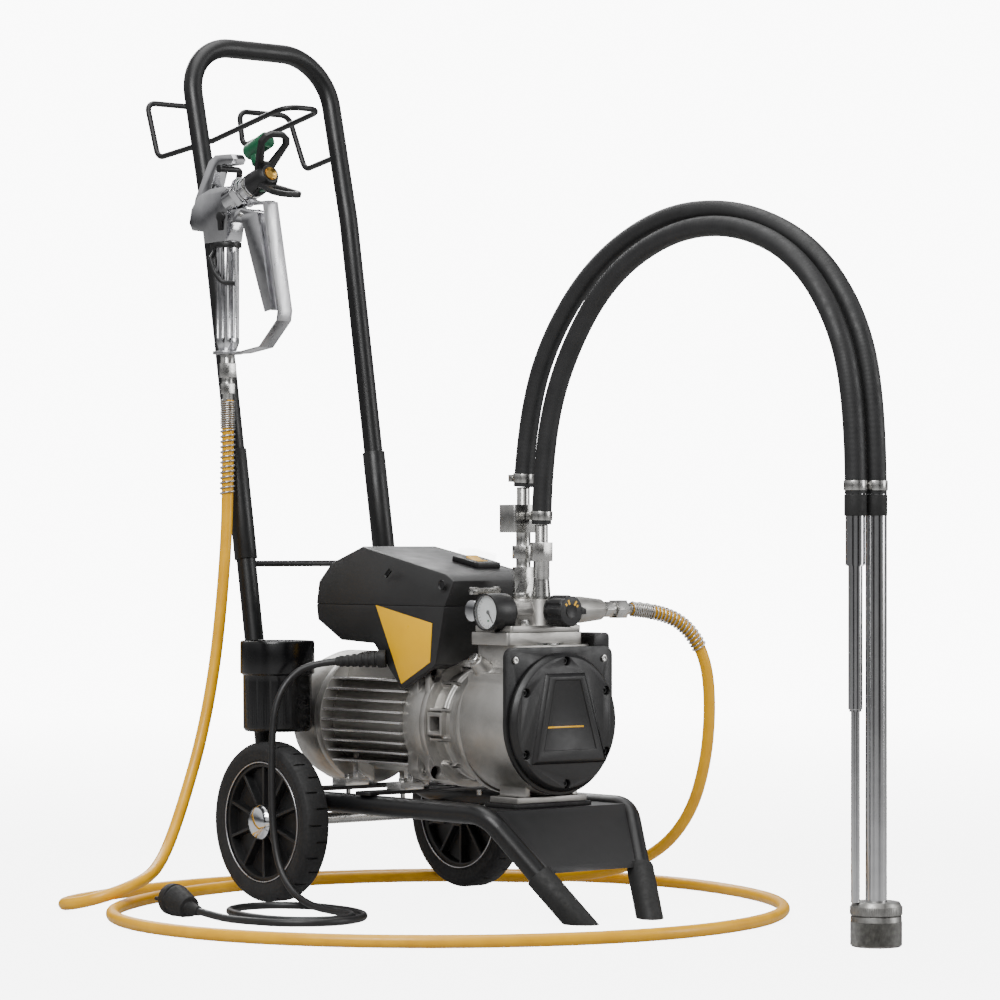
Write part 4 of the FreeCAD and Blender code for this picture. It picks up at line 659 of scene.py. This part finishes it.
def make_knob_marks():
    """Plain printed marks and a sunk ring on the pressure knob's face."""
    low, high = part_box("pressure_knob")
    pivot = Vector(JOINTS["pressure_knob_turn"]["pos_m"])
    radius = (high.x - low.x) / 2
    marks = []
    for turn, long in KNOB_MARKS:
        mark = primitive("cube", "mark", size=1, scale=(2.4 * MM, 0.5 * MM, long * MM),
                         location=(pivot.x, low.y - 0.05 * MM, pivot.z + radius * 0.58))
        worked(mark, lambda c, n: n.y < -0.9, bpy.ops.mesh.inset, thickness=0.3 * MM, depth=0.15 * MM)
        mark.data.transform(about(pivot, (0, 1, 0), turn))
        marks.append(mark)
    given(joined(marks, "knob_marks"), "yellow", "knob")
    face = primitive("cylinder", "knob_face_ring", vertices=48, radius=radius * 0.42, depth=1.2 * MM,
                     rotation=(math.pi / 2, 0, 0), location=(pivot.x, low.y - 0.1 * MM, pivot.z))
    worked(face, lambda c, n: n.y < -0.9, bpy.ops.mesh.inset, thickness=1.4 * MM, depth=-0.6 * MM)
    smooth(face)
    given(face, "black", "knob")


# ---------------------------------------------------------------- wheels
def make_wheel_trim(side):
    """Thin bright line on both edges of the rim and a nut on its inner face."""
    body = "wheel_" + side
    low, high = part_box("rim_" + side)
    middle = (low + high) / 2
    radius = (high.z - low.z) / 2
    lines = []
    for x in (low.x + 1.0 * MM, high.x - 1.0 * MM):
        ring = primitive("torus", "line", major_radius=radius - 1.2 * MM, minor_radius=0.9 * MM,
                         major_segments=96, minor_segments=8, rotation=(0, math.pi / 2, 0),
                         location=(x, middle.y, middle.z))
        lines.append(ring)
    piece = joined(lines, "rim_line_" + side)
    smooth(piece, 60)
    given(piece, "sheet", body)
    inner_face = high.x + 0.8 * MM if side == "near" else low.x - 0.8 * MM
    nut = primitive("cylinder", "hub_nut_" + side, vertices=6, radius=7 * MM, depth=5 * MM,
                    rotation=(0, math.pi / 2, 0), location=(inner_face, middle.y, middle.z))
    worked(nut, lambda c, n: abs(n.x) > 0.9, bpy.ops.mesh.bevel, offset=0.8 * MM, segments=2)
    given(nut, "steel", body)


# ---------------------------------------------------------------- filter and pipe ends
KNURL_RIBS = 72


def make_filter_trim():
    """Knurled ribs on the filter's collar and woven mesh round its basket."""
    low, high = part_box("inlet_filter")
    middle = (low + high) / 2
    radius = (high.x - low.x) / 2
    ribs = []
    rib = primitive("cube", "rib", size=1, scale=(1.0 * MM, 1.1 * MM, 9.5 * MM),
                    location=(middle.x + radius - 0.2 * MM, middle.y, high.z - 9.6 * MM))
    worked(rib, lambda c, n: n.x > 0.9, bpy.ops.mesh.bevel, offset=0.3 * MM, segments=1)
    for i in range(KNURL_RIBS):
        ribs.append(copied(rib, about(middle, (0, 0, 1), 360 / KNURL_RIBS * i)))
    bpy.data.objects.remove(rib)
    given(joined(ribs, "filter_knurl"), "filter")
    net = primitive("cylinder", "filter_mesh", vertices=64, radius=radius - 0.35 * MM,
                    depth=26 * MM, end_fill_type="NOTHING",
                    location=(middle.x, middle.y, low.z + 15 * MM))
    worked(net, everywhere, bpy.ops.mesh.subdivide, number_cuts=9)
    modified(net, "WIREFRAME", thickness=0.5 * MM, use_even_offset=False)
    given(net, "filter")


def make_hose_ends():
    """Rubber cuffs of both hoses over the pipes."""
    for name, route in (("suction_cuff", SUCTION_ROUTE), ("return_cuff", RETURN_ROUTE)):
        x, y, z = route[-1]
        cuff = primitive("cylinder", name, vertices=48, radius=PICKUP_HOSE_R + 0.5 * MM,
                         depth=24 * MM, location=(x, y + SHIFT_Y, z - 12.4 * MM))
        worked(cuff, lambda c, n: abs(n.z) > 0.9, bpy.ops.mesh.bevel, offset=1.2 * MM, segments=3)
        smooth(cuff)
        given(cuff, "rubber")


# ---------------------------------------------------------------- gun trim
SEAT_AHEAD = 17.5 * MM        # from the spray tip's pin to the brass seat, along the barrel
COLLAR_BEHIND = 21 * MM


def make_gun_trim():
    """Brass seat in the tip guard and the steel collar behind it."""
    axis = Vector(JOINTS["tip_guard_turn"]["axis"]).normalized()
    pivot = Vector(JOINTS["tip_guard_turn"]["pos_m"])
    tilt = axis.to_track_quat("Z", "Y").to_euler()
    seat = primitive("cylinder", "tip_seat", vertices=40, radius=8.6 * MM, depth=7 * MM,
                     rotation=tilt, location=pivot + axis * SEAT_AHEAD)
    worked(seat, lambda c, n: n.dot(axis) > 0.9, bpy.ops.mesh.inset, thickness=3.5 * MM,
           depth=-2.5 * MM)
    smooth(seat)
    given(seat, "brass", "guard")
    collar = primitive("cylinder", "barrel_collar", vertices=48, radius=16.4 * MM, depth=4 * MM,
                       rotation=tilt, location=pivot - axis * COLLAR_BEHIND)
    worked(collar, lambda c, n: abs(n.dot(axis)) > 0.9, bpy.ops.mesh.bevel, offset=0.8 * MM,
           segments=2)
    smooth(collar)
    given(collar, "steel")


# ---------------------------------------------------------------- control box trim
WELL_BACK, WELL_UP = 13 * MM, 26 * MM      # round well, from the lid's front and parting line
SLOT_BACK, SLOT_UP = 118 * MM, 40 * MM     # slanted slot
SLOT_SLANT = -40.0                         # degrees


def make_box_trim():
    """Dark wells on the lid's sides: a round one in front, a slanted slot farther back."""
    low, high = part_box("control_lid")
    for side, sign in (("near", -1), ("far", 1)):
        x = (low.x if sign < 0 else high.x) - sign * 0.5 * MM
        well = primitive("cylinder", "lid_well_" + side, vertices=32, radius=6 * MM, depth=2.4 * MM,
                         rotation=(0, math.pi / 2, 0),
                         location=(x, low.y + WELL_BACK, low.z + WELL_UP))
        worked(well, lambda c, n: n.x * sign > 0.9, bpy.ops.mesh.inset, thickness=1.2 * MM,
               depth=-1.8 * MM)
        smooth(well)
        given(well, "black")
        spot = Vector((x, low.y + SLOT_BACK, low.z + SLOT_UP))
        slot = primitive("cube", "lid_slot_" + side, size=1, scale=(2.4 * MM, 13 * MM, 5 * MM),
                         location=spot)
        slot.data.transform(about(spot, (1, 0, 0), SLOT_SLANT))
        worked(slot, lambda c, n: n.x * sign > 0.9, bpy.ops.mesh.inset, thickness=1.0 * MM,
               depth=-1.6 * MM)
        given(slot, "black")


# ---------------------------------------------------------------- stage
FLOOR_STRENGTH = 0.38         # share of the floor that shows over the white ground
FLOOR_FADE = (1.0, 5.0)       # metres from the middle


def make_stage():
    """Faint white floor that carries the shadow and fades into the background."""
    floor = primitive("circle", "floor", vertices=96, radius=14, fill_type="NGON",
                      location=(0, 0, -0.0004))
    material, tree, shader = surface("floor_matt_white", 0.6)
    shader.inputs["Base Color"].default_value = linear("#f2f2f2")
    place = add(tree, "ShaderNodeTexCoord").outputs["Object"]
    far = add(tree, "ShaderNodeVectorMath", {"operation": "LENGTH"}, {0: place})
    solid = level(tree, far.outputs["Value"], FLOOR_STRENGTH, 0, *FLOOR_FADE)
    tree.links.new(solid, shader.inputs["Alpha"])
    floor.data.materials.append(material)


def soft_light(name, place, aim, size, watts):
    data = bpy.data.lights.new(name, "AREA")
    data.shape = "RECTANGLE"
    data.size, data.size_y = size
    data.energy = watts
    lamp = bpy.data.objects.new(name, data)
    bpy.context.scene.collection.objects.link(lamp)
    lamp.location = place
    lamp.rotation_euler = (Vector(aim) - Vector(place)).to_track_quat("-Z", "Y").to_euler()


LAMPS = (                     # name, place, aim, size in metres, watts
    ("key", (-2.6, -1.6, 2.6), (0, 0, 0.4), (1.6, 1.6), 105),
    ("fill", (2.4, -3.2, 1.4), (0, 0, 0.5), (1.2, 2.2), 48),
    ("back", (1.2, 3.0, 2.4), (0, 0, 0.5), (2.4, 1.2), 62),
    ("top", (0, 0, 3.4), (0, 0, 0), (2.6, 2.6), 55),
)
# What metal reflects: tones by height, and bright and dark strips from the view's left to right.
HEIGHT_ENDS = ("#b8b8b8", "#ffffff")
HEIGHT_TONES = ((0.47, "#8c8c8c"), (0.53, "#4a4a4c"), (0.62, "#c9c9ca"))
STRIP_END = "#e6e6e6"
STRIP_TONES = ((0.12, "#ffffff"), (0.17, "#2c2c2e"), (0.27, "#343436"), (0.34, "#ffffff"),
               (0.62, "#ffffff"), (0.72, "#303032"), (0.8, "#2c2c2e"), (0.87, "#ffffff"))
VIEW_RIGHT = (0.762, -0.647, 0)
BACKGROUND_STRENGTH = 10.0    # seen by the camera only
STUDIO_STRENGTH = 1.15


def tone_ramp(tree, source, ends, tones):
    """Colour ramp over a value that runs from -1 to 1."""
    ramp = add(tree, "ShaderNodeValToRGB", (), {0: level(tree, source, 0, 1, -1, 1)})
    stops = ramp.color_ramp.elements
    for stop, tone in zip(stops, ends):
        stop.color = linear(tone)
    for share, tone in tones:
        stops.new(share).color = linear(tone)
    return ramp.outputs[0]


def make_light():
    for name, place, aim, size, watts in LAMPS:
        soft_light(name, place, aim, size, watts)
    world = bpy.data.worlds.new("studio")
    bpy.context.scene.world = world
    world.use_nodes = True
    tree = world.node_tree
    plain = tree.nodes["Background"]
    plain.inputs[0].default_value = linear("#ffffff")
    plain.inputs[1].default_value = BACKGROUND_STRENGTH
    way = add(tree, "ShaderNodeTexCoord").outputs["Generated"]
    height = add(tree, "ShaderNodeSeparateXYZ", (), {0: way}).outputs["Z"]
    by_height = tone_ramp(tree, height, HEIGHT_ENDS, HEIGHT_TONES)
    across = add(tree, "ShaderNodeVectorMath", {"operation": "DOT_PRODUCT"}, {0: way})
    across.inputs[1].default_value = VIEW_RIGHT
    strips = tone_ramp(tree, across.outputs["Value"], (STRIP_END, STRIP_END), STRIP_TONES)
    striped = add(tree, "ShaderNodeMix", {"data_type": "RGBA", "blend_type": "MULTIPLY"})
    striped.inputs[0].default_value = 1.0
    tree.links.new(by_height, striped.inputs[6])
    tree.links.new(strips, striped.inputs[7])
    studio = add(tree, "ShaderNodeBackground", {"Strength": STUDIO_STRENGTH},
                 {"Color": striped.outputs[2]})
    seen = add(tree, "ShaderNodeLightPath").outputs["Is Camera Ray"]
    mix = add(tree, "ShaderNodeMixShader", (), {0: seen, 1: studio.outputs[0],
                                                2: plain.outputs[0]})
    tree.links.new(mix.outputs[0], tree.nodes["World Output"].inputs["Surface"])


CAMERA_PLACE = (-2.9828, -3.6931, 0.4513)
CAMERA_TURN = -40.32          # degrees about the vertical
CAMERA_LENS = 134.9
CAMERA_SHIFT_Y = 0.0413


def make_camera():
    data = bpy.data.cameras.new("camera")
    camera = bpy.data.objects.new("camera", data)
    bpy.context.scene.collection.objects.link(camera)
    camera.location = CAMERA_PLACE
    camera.rotation_euler = (math.radians(90), 0, math.radians(CAMERA_TURN))
    data.lens = CAMERA_LENS
    data.sensor_width = 36
    data.shift_y = CAMERA_SHIFT_Y
    bpy.context.scene.camera = camera


make_camera()
make_stage()
make_light()
packed = dress_packed_shapes()
make_cords()
darken_cover_screws(packed["steel_fasteners"])
make_gauge_trim()
make_knob_marks()
make_wheel_trim("near")
make_wheel_trim("far")
make_filter_trim()
make_hose_ends()
make_gun_trim()
make_box_trim()
